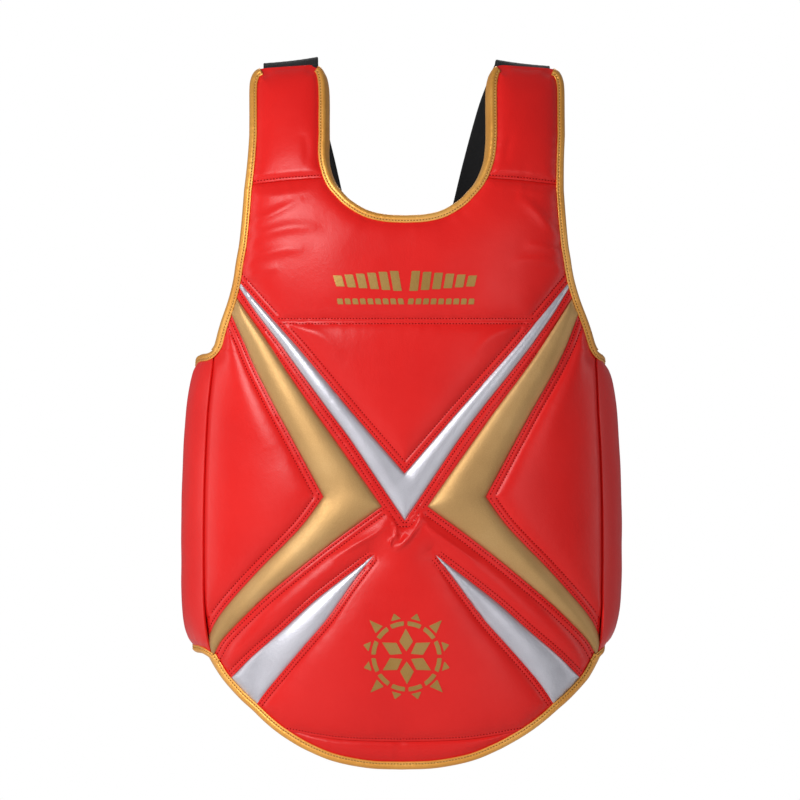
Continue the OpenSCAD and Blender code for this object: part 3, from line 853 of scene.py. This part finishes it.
# dark colours for the needle holes: painted shade of the holes in the red leather and in the gold binding
HOLE_SHADE = thread("needle_hole_shade", (0.30, 0.003, 0.003), 0.9, 0.03)
TRIM_HOLE_SHADE = thread("trim_needle_hole_shade", (0.34, 0.15, 0.03), 0.9, 0.03)
WEB = webbing("black_webbing", (0.0065, 0.0065, 0.007), (0.022, 0.022, 0.023))
ELASTIC = webbing("black_elastic", (0.006, 0.006, 0.0065), (0.024, 0.024, 0.026), 1.1)
LINING = cloth("black_lining", (0.010, 0.010, 0.011), (0.022, 0.022, 0.024), 0.00012, 1100)
FOAM = cloth("grey_foam", (0.16, 0.16, 0.17), (0.26, 0.26, 0.27), 0.0003, 500)
LOOP = cloth("loop_pile", (0.010, 0.010, 0.011), (0.032, 0.032, 0.034), 0.0006, 700, 1.0)
HOOK = cloth("hook_tape", (0.008, 0.008, 0.009), (0.024, 0.024, 0.026), 0.0003, 1300, 0.6)
PLASTIC = plastic()


# ---------------------------------------------------------------- the front's seams where they meet
INSET = 1.1
arm_edge, hem_edge, neck_edge = arm[arm[:, 0] > 132.6], offset(hem, -1.3), neck[neck[:, 0] < 80.5]
hem_edge[0, 0] = 0
arm, hem, neck = offset(arm, -INSET), offset(hem, INSET), offset(neck, -INSET)
hem = hem[hem[:, 0] < 174.6]
hem[0, 0] = neck[0, 0] = 0
arm[-1] = [seam_x(373), 373]
arm_long = np.vstack([[[124, 634]], arm, [[173.2, 366]]])
hem_long = np.vstack([hem, [[174.5, 104]]])
side_long = np.vstack([[[seam_x(90), 90]], side])
top_line = straight([neck[-1], arm[0]])
v_low_r = until(v_low, arm_long)
v_top_r = until(v_top, arm_long)
chev_up = until(chevron_up, arm_long)
fork_hi = until(fork_up, arm_long)
chev_down = until(chevron_down, side_long)
fork_lo = until(fork_down, side_long)
seam_right = until(top_seam[len(top_seam) // 2:], arm_long)
seam_left = until(flip(top_seam[:len(top_seam) // 2 + 1]), neck)
shoulder_seam = joined(flip(seam_left), seam_right)
dart_hi = until(dart_high, hem_long)
dart_lo = until(dart_low, hem_long)
hem_line = until(hem_seam[:-2], hem_long)
tip = chevron_up[0]
v_tip = v_low[0]
corner_top = arm[-1]
corner_low = arr([seam_x(98), 98])
chest_right = straight([[0, CHEST_Z], [v_meet, CHEST_Z]])
v_near = between(v_top_r, v_top[0], arr([v_meet, CHEST_Z]))
v_far = between(v_top_r, arr([v_meet, CHEST_Z]), v_top_r[-1])


def both(edges):
    """A whole ring from the edges of its right half, which start and end on the centre line."""
    return edges + [(flip(line) * [-1, 1], kind) for line, kind in reversed(edges)]


neck_side = (between(neck, shoulder_seam[0], neck[0]), "bound")
yoke = Panel(both([(chest_right, "row"), (v_far, "fold"),
                   (between(arm, v_top_r[-1], seam_right[-1]), "bound"),
                   (flip(shoulder_seam), "under"), neck_side]),
             crown=2.2, width=30, slack=0.7, seed=2.0,
             ridges=[([[-140, 516], [-122, 514], [-104, 516], [-84, 520]], 1.1, 4.6),
                     ([[-142, 488], [-124, 496], [-106, 505], [-92, 513]], 1.5, 4.2),
                     ([[-144, 470], [-126, 480], [-104, 486], [-78, 486]], 1.6, 5.0),
                     ([[-147, 452], [-128, 461], [-108, 466], [-90, 466]], 1.3, 4.4),
                     ([[-151, 436], [-132, 446], [-112, 450]], 1.0, 4.0),
                     ([[138, 516], [120, 518], [100, 523], [80, 522]], 1.2, 5.0),
                     ([[143, 478], [131, 487], [118, 501], [101, 516]], 1.6, 4.6),
                     ([[146, 462], [128, 468], [110, 470]], 1.4, 3.6),
                     ([[148, 446], [130, 456], [96, 455]], 1.1, 4.2)])
triangle = Panel(both([(v_near, "fold"), (flip(chest_right), "row")]), crown=1.8, width=30, seed=5.0,
                 ridges=[([[s * 60, 372], [s * 78, 389], [s * 106, 400]], 1.0, 4.5) for s in (-1, 1)])
v_panel = Panel(both([(v_low_r, "tuck"), (between(arm, v_low_r[-1], v_top_r[-1]), "bound"),
                      (flip(v_top_r), "tuck")]),
                puff=3.4, crown=1.0, width=14, slack=0.2, seed=8.0, steep=6.5)
belly = Panel(both([(hem_line, "row"), (between(hem, hem_line[-1], dart_lo[-1]), "bound"),
                    (flip(dart_lo), "fold_near"), (dart_hi, "fold_near"),
                    (joined(between(hem, dart_hi[-1], hem[-1]), arr([corner_low])), "bound"),
                    (between(side, corner_low, chev_down[-1]), "crease"), (flip(chev_down), "fold"),
                    (straight([tip, v_tip]), "flush")]),
              crown=2.2, width=30, seed=11.0, touching=[(whole(v_low[:14]), "fold")],
              ridges=[([[14, 233], [13.2, 224], [7, 212.5], [-2.6, 201.5], [-11.5, 197]], 3.2, 2.9),
                      ([[-13.5, 226], [-9, 220], [-7.6, 213], [-10, 206]], 2.2, 1.5),
                      ([[-10, 208], [-13, 203], [-12.2, 197]], 2.0, 1.5),
                      ([[-66, 187], [-46, 200], [-28, 210], [-16, 219]], 2.0, 2.6),
                      ([[16, 229], [20, 218], [32, 208], [48, 197], [66, 185]], 1.7, 2.6),
                      ([[-22, 192], [-38, 170], [-52, 150], [-66, 128]], 1.0, 4.0),
                      ([[20, 194], [30, 180], [42, 164]], 0.9, 4.0),
                      ([[-2, 214], [-4, 207], [-7, 203]], -1.6, 2.0)])
hem_panel = Panel(both([(between(hem, hem[0], hem_line[-1]), "bound"), (flip(hem_line), "under")]),
                  puff=1.6, crown=0.8, width=12, slack=0.2, seed=14.0)


def half_front(sign, seed):
    """The panels of one side: -1 for the left, 1 for the right."""
    def panel(edges, ridges=(), **shape):
        own = [((arr(points) * [sign, 1]).tolist(), height, wide) for points, height, wide in ridges]
        return Panel([(line * [sign, 1], kind) for line, kind in edges], ridges=own, **shape)

    return {
        "chest_strip": panel([(straight([v_tip, tip]), "flush"), (chev_up, "lip"),
                              (between(arm, chev_up[-1], v_low_r[-1]), "bound"), (flip(v_low_r), "fold")],
                             slack=0.1, seed=seed),
        "chevron": panel([(chev_down, "tuck"), (between(side, chev_down[-1], fork_lo[-1]), "crease"),
                          (flip(fork_lo), "tuck"), (fork_hi, "tuck"),
                          (between(arm, fork_hi[-1], chev_up[-1]), "bound"), (flip(chev_up), "tuck")],
                         ridges=[([[24, 236], [42, 240], [60, 243]], 0.5, 8.0)],
                         puff=5.6, crown=1.2, width=20, slack=0.4, seed=seed + 1, steep=8.0),
        "side_panel": panel([(fork_hi, "fold"), (between(arm, fork_hi[-1], corner_top), "bound"),
                             (flip(between(side, fork_lo[-1], corner_top)), "crease"),
                             (flip(fork_lo), "fold")],
                            ridges=[([[163, 398], [159, 376], [148, 345], [135, 314], [121, 286]], 0.8, 9)],
                            crown=2.2, width=26, seed=seed + 2),
        "dart": panel([(dart_hi, "tuck"), (flip(between(hem, dart_lo[-1], dart_hi[-1])), "bound"),
                       (flip(dart_lo), "tuck")],
                      puff=3.2, crown=0.6, width=12, slack=0.15, seed=seed + 3, steep=6.0),
        "shoulder_panel": panel([(shoulder_seam, "bare_row"),
                                 (between(arm, shoulder_seam[-1], arm[0]), "bound"),
                                 (flip(top_line), "pinch"),
                                 (flip(between(neck, shoulder_seam[0], neck[-1])), "bound")],
                                ridges=[([[80, 536], [98, 536], [116, 534.5], [132, 533]], 0.9, 4.0),
                                        ([[94, 572], [90, 556], [90, 542]], -0.9, 4.0)],
                                crown=1.8, width=22, slack=0.5, seed=seed + 4),
    }


SIDES = (("left", -1), ("right", 1))
half_panels = {side_name: half_front(sign, 20.0 + 10 * sign) for side_name, sign in SIDES}


def stitch_rows(panel, thread):
    """Every stitch row of a panel, along its edges."""
    for line, kind in panel.edges + panel.touching:
        own = resample(line, 1.4)
        for row in KINDS[kind]["rows"]:
            for way in (1, -1):
                path = offset(own, way * row)
                ok = inside(path, panel.ring) & (nearest(path, own)[0] > ROW_KEEP * row)
                for other, other_kind in panel.edges:
                    if other is not line and KINDS[other_kind]["flat"] is not None:
                        ok &= nearest(path, other)[0] > (ROW_KEEP * row if KINDS[other_kind]["rows"] else 1.3)
                runs = np.split(np.arange(len(path)), np.where(~ok)[0])
                for run in runs:
                    run = run[ok[run]]
                    if len(run) > 4:
                        thread.add(path[run], panel.at, panel.depth)


# ---------------------------------------------------------------- leather panels
def dress(piece, slot, nodes=(), fill=None):
    """Hides the CAD nodes that a piece stands for; slot, for what it is made of, and fill, for how full a pad
    is, are not used.
    """
    if nodes:
        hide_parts(*nodes)


LEATHER_FILL, FOAM_FILL = 0.7, 0.8
front_red = Thread()


def add_panel(name, panel, material, slot, *nodes, spacing=4.2):
    piece = skin_piece(name, panel, material, spacing)
    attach(piece, "front")
    dress(piece, slot, nodes, LEATHER_FILL)


add_panel("yoke_leather", yoke, RED, "red_leather", "yoke_panel", spacing=3.6)
add_panel("triangle_leather", triangle, RED, "red_leather", "triangle_panel")
add_panel("v_band_leather", v_panel, SILVER, "silver_leather", "v_band")
add_panel("belly_leather", belly, RED, "red_leather", "belly_panel", "left_dart_strip", "right_dart_strip",
          spacing=3.4)
add_panel("hem_band_leather", hem_panel, RED, "red_leather", "hem_band")
for side_name in ("left", "right"):
    for node, (material, slot) in {"chest_strip": (RED, "red_leather"), "chevron": (GOLD, "gold_leather"),
                                   "side_panel": (RED, "red_leather"), "dart": (SILVER, "silver_leather"),
                                   "shoulder_panel": (RED, "red_leather")}.items():
        add_panel(f"{side_name}_{node}_leather", half_panels[side_name][node], material, slot,
                  f"{side_name}_{node}")

for panel in [yoke, triangle, belly, hem_panel] + [p for h in half_panels.values() for p in h.values()]:
    stitch_rows(panel, front_red)

# ---------------------------------------------------------------- wings
TRIM_ROW = 5.2
TRIM_ROW_T = BOUND_T - 0.7
wing_top = smooth([[-69.5, 380.5], [-66.5, 377.4], [-62, 374.9], [-56, 373.6], [-48, 373.1], [-40, 373],
                   [-28, 372.4], [-12, 370.4], [4, 366], [20, 360.5], [38, 353.5], [50, 347.5], [57.5, 340],
                   [61.5, 330], [63, 317]])
wing_bottom = smooth([[63, 140], [61.8, 128], [57.5, 118], [49, 111], [38, 106.5], [20, 103], [0, 101.4],
                      [-20, 101], [-38, 101], [-52, 100], [-60, 98], [-66, 94.8], [-70, 91.2]])
wing_edge = joined(wing_top, straight([[63, 317], [63, 140]]), wing_bottom)
# For each side: how far the bottom curls in and over how much height, then the same for the top
CURLS = {-1: (3.0, 20, 2.5, 18), 1: (9.5, 20, 5.5, 15)}


def curl(side):
    """How much deeper each point of a wing lies because its bottom and top ends curl in to the body."""
    low, low_reach, high, high_reach = CURLS[side]

    def at(p):
        away = eased((p[:, 0] + 64) / 36)
        bottom = low * np.exp(-nearest(p, wing_bottom)[0] / low_reach)
        return away * np.maximum(bottom, high * np.exp(-nearest(p, wing_top)[0] / high_reach))
    return at


def mirrored(side):
    """side_point for one side, with the front's drift fading out behind the seam."""
    def at(p, t):
        point = side_point(p, t) * [side, 1, 1]
        point[..., 0] += drift(p[..., 1]) * np.clip((-20 - p[..., 0]) / 47, 0, 1)
        return point
    return at


OUTER_SEAM_Y, INNER_SEAM_Y = -0.0625, -0.0565    # two seam depths in metres, the inner one further back


def wing_body(piece, side_name, sign, seam_y=OUTER_SEAM_Y):
    """Bakes the piece's transform into its mesh."""
    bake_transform(piece)


def cut_at(line, y):
    """The part of a wing outline behind y, with its two ends at y."""
    line = line[line[:, 0] > y]
    line[0, 0] = line[-1, 0] = y
    return line


# Depths of the layers under the leather: outer face, inner face, and the middle where the binding presses
FOAM_LAYER, LINING_LAYER = (4.9, 18.4, 10.5), (19.4, 20.6, 15.8)
SHOULDER_FOAM, SHOULDER_LINING = (5.2, 17.0, 9.6), (19.2, 20.4, 13.6)

for side_name, sign in SIDES:
    own_curl, own_side = curl(sign), mirrored(sign)
    wing_in = cut_at(offset(wing_edge, -INSET), SEAM_Y)
    wing = Panel([(wing_in, "bound"), (straight([wing_in[-1], wing_in[0]]), "crease")], puff=3.0, crown=1.8,
                 width=30, at=own_side, slack=0.6, seed=50.0 + sign, extra=own_curl)
    piece = skin_piece(f"{side_name}_wing_leather", wing, RED, 4.5)
    wing_body(piece, side_name, sign)
    dress(piece, "red_leather", [f"{side_name}_wing_panel"], LEATHER_FILL)
    core_edge = cut_at(offset(wing_edge, -2.5), SEAM_Y + 1)
    core = Panel([(core_edge, "bound"), (straight([core_edge[-1], core_edge[0]]), "crease")],
                 at=own_side, extra=own_curl)
    piece = layer_piece(f"{side_name}_wing_pad", core, FOAM, *FOAM_LAYER)
    wing_body(piece, side_name, sign, INNER_SEAM_Y)
    dress(piece, "foam", [f"{side_name}_wing_foam"], FOAM_FILL)
    piece = layer_piece(f"{side_name}_wing_lining_cloth", wing, LINING, *LINING_LAYER, waves=0.7, seed=3.0)
    wing_body(piece, side_name, sign, INNER_SEAM_Y)
    dress(piece, "lining", [f"{side_name}_wing_lining"])
    edge = flip(wing_edge)
    piece = binding_piece(f"{side_name}_wing_trim", edge, own_side, seed=60.0 + sign, skin=own_curl)
    wing_body(piece, side_name, sign)
    dress(piece, "gold_binding", [f"{side_name}_wing_binding"])
    rows = Thread()
    rows.add(offset(resample(edge, 1.5), TRIM_ROW), own_side, lambda p: TRIM_ROW_T + own_curl(p))
    for piece in rows.make(f"{side_name}_wing", GOLD_THREAD, TRIM_HOLE_SHADE):
        wing_body(piece, side_name, sign)

# ---------------------------------------------------------------- front foam, linings and bindings
outline = Panel(both([(hem, "bound"), (side, "crease"),
                      (flip(between(arm, shoulder_seam[-1], corner_top)), "bound"),
                      (flip(shoulder_seam), "under"), neck_side]))
piece = layer_piece("front_pad", outline, FOAM, *FOAM_LAYER, spacing=8)
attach(piece, "front")
dress(piece, "foam", ["front_foam"], FOAM_FILL)
piece = layer_piece("front_lining_cloth", outline, LINING, *LINING_LAYER, spacing=7, waves=0.7, seed=7.0)
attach(piece, "front")
dress(piece, "lining", ["front_lining"])

front_trim = Thread()
binding_lines = {"neck_binding": flip(whole(neck_edge)), "hem_binding": whole(hem_edge),
                 "right_armhole_binding": flip(arm_edge), "left_armhole_binding": arm_edge * [-1, 1]}
for k, (node, line) in enumerate(binding_lines.items()):
    piece = binding_piece(node.replace("binding", "trim"), line, front_point, seed=70.0 + 5 * k)
    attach(piece, "front")
    dress(piece, "gold_binding", [node])
    front_trim.add(offset(resample(line, 1.5), TRIM_ROW), front_point, lambda p: np.full(len(p), TRIM_ROW_T))

for side_name, sign in SIDES:
    shoulder = half_panels[side_name]["shoulder_panel"]
    piece = layer_piece(f"{side_name}_shoulder_pad", shoulder, FOAM, *SHOULDER_FOAM, spacing=7)
    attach(piece, "front")
    dress(piece, "foam", [f"{side_name}_shoulder_foam"], LEATHER_FILL)
    piece = layer_piece(f"{side_name}_shoulder_lining_cloth", shoulder, LINING, *SHOULDER_LINING, spacing=6,
                        waves=0.5, seed=9.0 + sign)
    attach(piece, "front")
    dress(piece, "lining", [f"{side_name}_shoulder_lining"])


# ---------------------------------------------------------------- prints
FOIL_UP, FOIL_DOWN = 0.32, 0.15


def print_piece(name, polygons, panel, node):
    """Foil printed on the leather: thin closed shapes just above the panel's surface."""
    points, faces = [], []
    for poly in polygons:
        ring = resample(closed(poly), 1.6)[:-1]
        low, high = ring.min(axis=0), ring.max(axis=0)
        gx, gz = np.meshgrid(np.arange(low[0], high[0], 2.4), np.arange(low[1], high[1], 2.4))
        grid = np.stack([gx.ravel(), gz.ravel()], axis=1)
        grid = grid[inside(grid, ring)]
        if len(grid):
            grid = grid[nearest(grid, closed(ring))[0] > 0.8]
        p, tris = triangulated(np.vstack([ring, grid]), len(ring))
        t = panel.depth(p)
        base, m = len(points), len(p)
        points.extend(panel.at(p, t - FOIL_UP))
        points.extend(panel.at(p, t + FOIL_DOWN))
        faces += [tuple(base + i for i in f) for f in tris]
        faces += [tuple(base + m + i for i in f[::-1]) for f in tris]
        faces += [(base + b, base + a, base + a + m, base + b + m) for a, b in rim_of(tris)]
    piece = outward(mesh_object(name, points, faces, PRINT, sharp=50))
    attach(piece, "front")
    dress(piece, "gold_print", [node])


def slanted(x0, x1, z0, z1, lean):
    """A plain bar that leans over."""
    return arr([[x0, z0], [x1, z0], [x1 + lean, z1], [x0 + lean, z1]])


bars = []
for s in (-1, 1):
    for k in range(6):
        x0, drop = 3.4 + 10.2 * k, 0.8 * k
        bars.append(slanted(x0, x0 + 7.6, 428.6 + drop, 446.5 - drop, 2.6) * [s, 1])
    for k in range(9):
        bars.append(slanted(1.6 + 6.8 * k, 6.6 + 6.8 * k, 416.6, 421.8, 0.8) * [s, 1])
print_piece("chest_foil", bars, yoke, "chest_print")


def ring_sector(r0, r1, a0, a1, centre):
    a = np.radians(np.linspace(a0, a1, 9))
    rim = np.concatenate([np.stack([r1 * np.cos(a), r1 * np.sin(a)], 1),
                          np.stack([r0 * np.cos(a[::-1]), r0 * np.sin(a[::-1])], 1)])
    return rim + centre


def turned(points, degrees, centre):
    c, s = math.cos(math.radians(degrees)), math.sin(math.radians(degrees))
    return arr(points) @ arr([[c, s], [-s, c]]) + centre


rosette = []
middle = arr([0, 101])
for k in range(12):
    a = 30 * k + 15
    rosette.append(ring_sector(27.5, 31.5, a - 11.8, a + 11.8, middle))
    ray_tip = 46 if k % 3 == 1 else 40
    rosette.append(turned([[33.8, -4.6], [ray_tip, 0], [33.8, 4.6]], a, middle))
for k in range(6):
    rosette.append(turned([[4.6, 0], [13.5, -6.2], [25, 0], [13.5, 6.2]], 60 * k + 30, middle))
print_piece("belly_foil", rosette, belly, "belly_print")

# ---------------------------------------------------------------- harness
WEB_W, WEB_T = 50.0, 1.8
BELT_W, TAPE_W, TAB_W = 50, 46, 40
BELT_T, LOOP_TAPE_T = 1.6, 1.2
BAR_R, RING_SPAN = 1.5, 14.0
GAP = 0.4                                   # between a bar and the webbing round it
TURN_R = BAR_R + GAP + WEB_T / 2
LOOP_R = BAR_R + GAP + BELT_T / 2
RING_AT = arr([32.6, 120.5, 330])           # the back ring's upper bar
RUN_TOP = arr([66.9, 115, 470])             # where the strap's straight run down the back starts
RUN = (RUN_TOP - RING_AT) / np.linalg.norm(RUN_TOP - RING_AT)
ACROSS = RUN[0] * RUN - arr([1, 0, 0])
ACROSS /= np.linalg.norm(ACROSS)
RUN_OUT = np.cross(ACROSS, RUN)
OVER_SHOULDER = [[105.5, -33, 628.5], [105.5, -27.5, 633.5], [105.5, -19.5, 637.8], [105.5, -8, 639.6],
                 [105.3, 6, 637.5], [104, 22, 630.5], [101, 40, 617], [96.5, 58, 599], [90.5, 75, 574],
                 [83.5, 91, 546], [76.5, 102, 516], [71.5, 108.5, 494]]


def across_of(path):
    """The width's direction of a strap that runs up and down, at each of its points."""
    d = np.gradient(path, axis=0)
    d /= np.linalg.norm(d, axis=1, keepdims=True)
    a = d[:, :1] * d - arr([1, 0, 0])
    return a / np.linalg.norm(a, axis=1, keepdims=True)


def web_piece(name, path, across, width, thick, material, slot, sign, nodes=()):
    piece = band_piece(name, path * [sign, 1, 1], across * [sign, 1, 1], width, thick, material)
    dress(piece, slot, nodes)
    return piece


def shoulder_web(side_name, sign):
    """From under the shoulder panel, over the shoulder, down the back and round the ring's upper bar."""
    inside_end = front_point(arr([[sign * 105.5, 612], [sign * 105.5, 622]]), 9.5) * [sign, 1, 1]
    down = RUN_TOP - RUN_OUT * TURN_R
    bar_side = RING_AT - RUN_OUT * TURN_R
    straight_run = arr([down + (bar_side - down) * k for k in np.linspace(0.15, 1, 12)])
    over = arr(OVER_SHOULDER)
    over[:, 0] += sign * drift(over[:, 2]) * np.clip((70 - over[:, 1]) / 60, 0, 1)
    over[:, 2] -= (0.9 if sign < 0 else 3.2) * np.clip((30 - over[:, 1]) / 30, 0, 1)
    turn = arr([RING_AT - RUN_OUT * TURN_R * math.cos(a) - RUN * TURN_R * math.sin(a)
                for a in np.linspace(0.15, math.pi, 12)])
    path = np.vstack([catmull_rom(np.vstack([inside_end, over, [down]]), 10), straight_run, turn])
    ease = np.clip((60 - path[:, 1]) / 85, 0, 1)[:, None] * (path[:, 2:3] > 590)
    across = across_of(path) * (1 - ease) + arr([-0.93, -0.32, 0.12]) * ease
    piece = web_piece(f"{side_name}_shoulder_web", path, across, WEB_W, WEB_T, WEB, "webbing", sign,
                      [f"{side_name}_shoulder_strap"])
    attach(piece, "front")


def return_web(side_name, sign):
    """The strand from the ring back up to the slider."""
    tail = catmull_rom([RING_AT + RUN_OUT * TURN_R, RING_AT + RUN * 20 + RUN_OUT * 4.2,
                        RING_AT + RUN * 57.5 + RUN_OUT * 4.2], 10)
    piece = web_piece(f"{side_name}_return_web", tail, across_of(tail), WEB_W, WEB_T, WEB, "webbing", sign)
    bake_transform(piece)


def back_loop(side_name, sign):
    """The loop of webbing that ties the ring's lower bar to the centre patch."""
    low_bar = RING_AT - RUN * RING_SPAN
    bight = arr([low_bar - RUN_OUT * LOOP_R * math.cos(a) + RUN * LOOP_R * math.sin(a)
                 for a in np.linspace(0, math.pi, 14)])
    loop = np.vstack([low_bar - RUN * 35 - RUN_OUT * (LOOP_R - 0.6), low_bar - RUN * 12 - RUN_OUT * LOOP_R,
                      bight, low_bar - RUN * 6 + RUN_OUT * (LOOP_R - 0.2),
                      low_bar - RUN * 14 + RUN_OUT * 0.6, low_bar - RUN * 35 + RUN_OUT * 0.1])
    piece = web_piece(f"{side_name}_back_loop", loop, np.tile(ACROSS, (len(loop), 1)), TAB_W, BELT_T, WEB,
                      "webbing", sign, [f"{side_name}_back_tab"])
    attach(piece, "front")


for side_name, sign in SIDES:
    shoulder_web(side_name, sign)
    return_web(side_name, sign)
    back_loop(side_name, sign)

PATCH_Y = 118.4


def back_point(p, t):
    return np.stack([p[..., 0], PATCH_Y - t + 0 * p[..., 0], p[..., 1]], axis=-1)


patch_ring = []
for cx, cz, a0 in ((44, 296, 0), (-44, 296, 90), (-44, 214, 180), (44, 214, 270)):
    a = np.radians(np.linspace(a0, a0 + 90, 7))
    patch_ring.append(np.stack([cx + 8 * np.cos(a), cz + 8 * np.sin(a)], 1))
patch_ring = np.vstack(patch_ring)
patch = Panel([(closed(patch_ring), "row")], puff=1.4, crown=0.5, at=back_point, slack=0.15)
piece = skin_piece("back_patch_leather", patch, RED, 4.0, ROWS[:4])
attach(piece, "front")
dress(piece, "red_leather", ["back_patch"], 0.4)
stitch_rows(patch, front_red)


def plan_point(x, t):
    """The point of the belt's middle line at x behind the torso, at depth t inside the outer surface."""
    x = np.asarray(x, float)
    y = (FRONT_DEPTH - t) * (1 - (x / (HALF_WIDTH - t)) ** SQUARENESS) ** (1 / SQUARENESS)
    return np.stack([x, y, np.full_like(x, BELT_Z)], axis=-1)


BAR_T = 10.5
FRONT_BAR = plan_point(163.0, BAR_T)
BELT_DIR = plan_point(153.0, BAR_T) - FRONT_BAR
BELT_DIR /= np.linalg.norm(BELT_DIR)
REAR_BAR = FRONT_BAR + RING_SPAN * BELT_DIR
BELT_OUT = arr([-BELT_DIR[1], BELT_DIR[0], 0])
if BELT_OUT[0] < 0:
    BELT_OUT = -BELT_OUT
REAR_X = REAR_BAR[0]


def belt_piece(name, path, width, thick, material, slot, sign, node):
    """A strip of the belt, which stands upright all the way."""
    return web_piece(name, path, np.tile([0.0, 0.0, 1.0], (len(path), 1)), width, thick, material, slot, sign,
                     [node])


def half_belt(side_name, sign):
    """The elastic and its loop tape, from the patch to the ring."""
    for part, node, inner, outer, count, depth, width, thick, material, slot in (
            ("elastic", "belt", 46, 6, 40, 13.2, BELT_W, BELT_T, ELASTIC, "elastic"),
            ("loop_tape", "loop_patch", 64, 10, 30, 11.65, TAPE_W, LOOP_TAPE_T, LOOP, "loop_pile")):
        strip = plan_point(np.linspace(inner, REAR_X - outer, count), depth)
        piece = belt_piece(f"{side_name}_{part}", strip, width, thick, material, slot, sign,
                           f"{side_name}_{node}")
        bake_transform(piece)


def belt_flap(side_name, sign):
    """The belt's end round the ring's rear bar and back over the loop tape, with its hook tape."""
    a = np.linspace(0.1, math.pi, 14)[:, None]
    bight = REAR_BAR - BELT_OUT * LOOP_R * np.cos(a) - BELT_DIR * LOOP_R * np.sin(a)
    strand = plan_point(np.linspace(REAR_X - 5.5, REAR_X - 82.8, 34), 7.8)
    piece = belt_piece(f"{side_name}_flap_web", np.vstack([bight, strand]), BELT_W, BELT_T, WEB, "webbing",
                       sign, f"{side_name}_belt_flap")
    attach(piece, f"{side_name}_flap")
    strip = plan_point(np.linspace(REAR_X - 16, REAR_X - 78.8, 28), 9.5)
    piece = belt_piece(f"{side_name}_hook_tape", strip, TAPE_W, BELT_T, HOOK, "hook_tape", sign,
                       f"{side_name}_hook_patch")
    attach(piece, f"{side_name}_flap")


def wing_loop(side_name, sign):
    """The tab on the wing, round the ring's front bar."""
    a = np.linspace(0, math.pi, 14)[:, None]
    bight = FRONT_BAR - BELT_OUT * LOOP_R * np.cos(a) + BELT_DIR * LOOP_R * np.sin(a)
    path = np.vstack([FRONT_BAR - BELT_DIR * 9 - BELT_OUT * 2.0, FRONT_BAR - BELT_DIR * 3 - BELT_OUT * LOOP_R,
                      bight, FRONT_BAR - BELT_DIR * 3 + BELT_OUT * LOOP_R,
                      FRONT_BAR - BELT_DIR * 9 + BELT_OUT * 2.0])
    piece = belt_piece(f"{side_name}_wing_loop", path, TAB_W, BELT_T, WEB, "webbing", sign,
                       f"{side_name}_wing_tab")
    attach(piece, f"{side_name}_wing")


for side_name, sign in SIDES:
    half_belt(side_name, sign)
    belt_flap(side_name, sign)
    wing_loop(side_name, sign)

for piece in front_red.make("front_red", RED_THREAD, HOLE_SHADE):
    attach(piece, "front")
for piece in front_trim.make("front_trim", GOLD_THREAD, TRIM_HOLE_SHADE):
    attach(piece, "front")

# ---------------------------------------------------------------- CAD pieces that show as they are
for side_name in ("left", "right"):
    for node in ("adjuster", "back_ring", "belt_ring"):
        obj = bpy.data.objects[f"{side_name}_{node}"]
        for slot in obj.material_slots:
            slot.material = PLASTIC

# ---------------------------------------------------------------- floor
bpy.ops.mesh.primitive_circle_add(vertices=96, radius=2.6, fill_type="NGON", location=(0, 0, -0.2))
floor = bpy.context.object
floor.name = "floor"
fm = Maker("pale_floor")
fm.colour(fm.ramp(fm.noise(3, 2), [(0.3, (0.86, 0.86, 0.86)), (0.7, (0.88, 0.88, 0.88))]))
fm.set(Roughness=0.8)
floor.data.materials.append(fm.material)
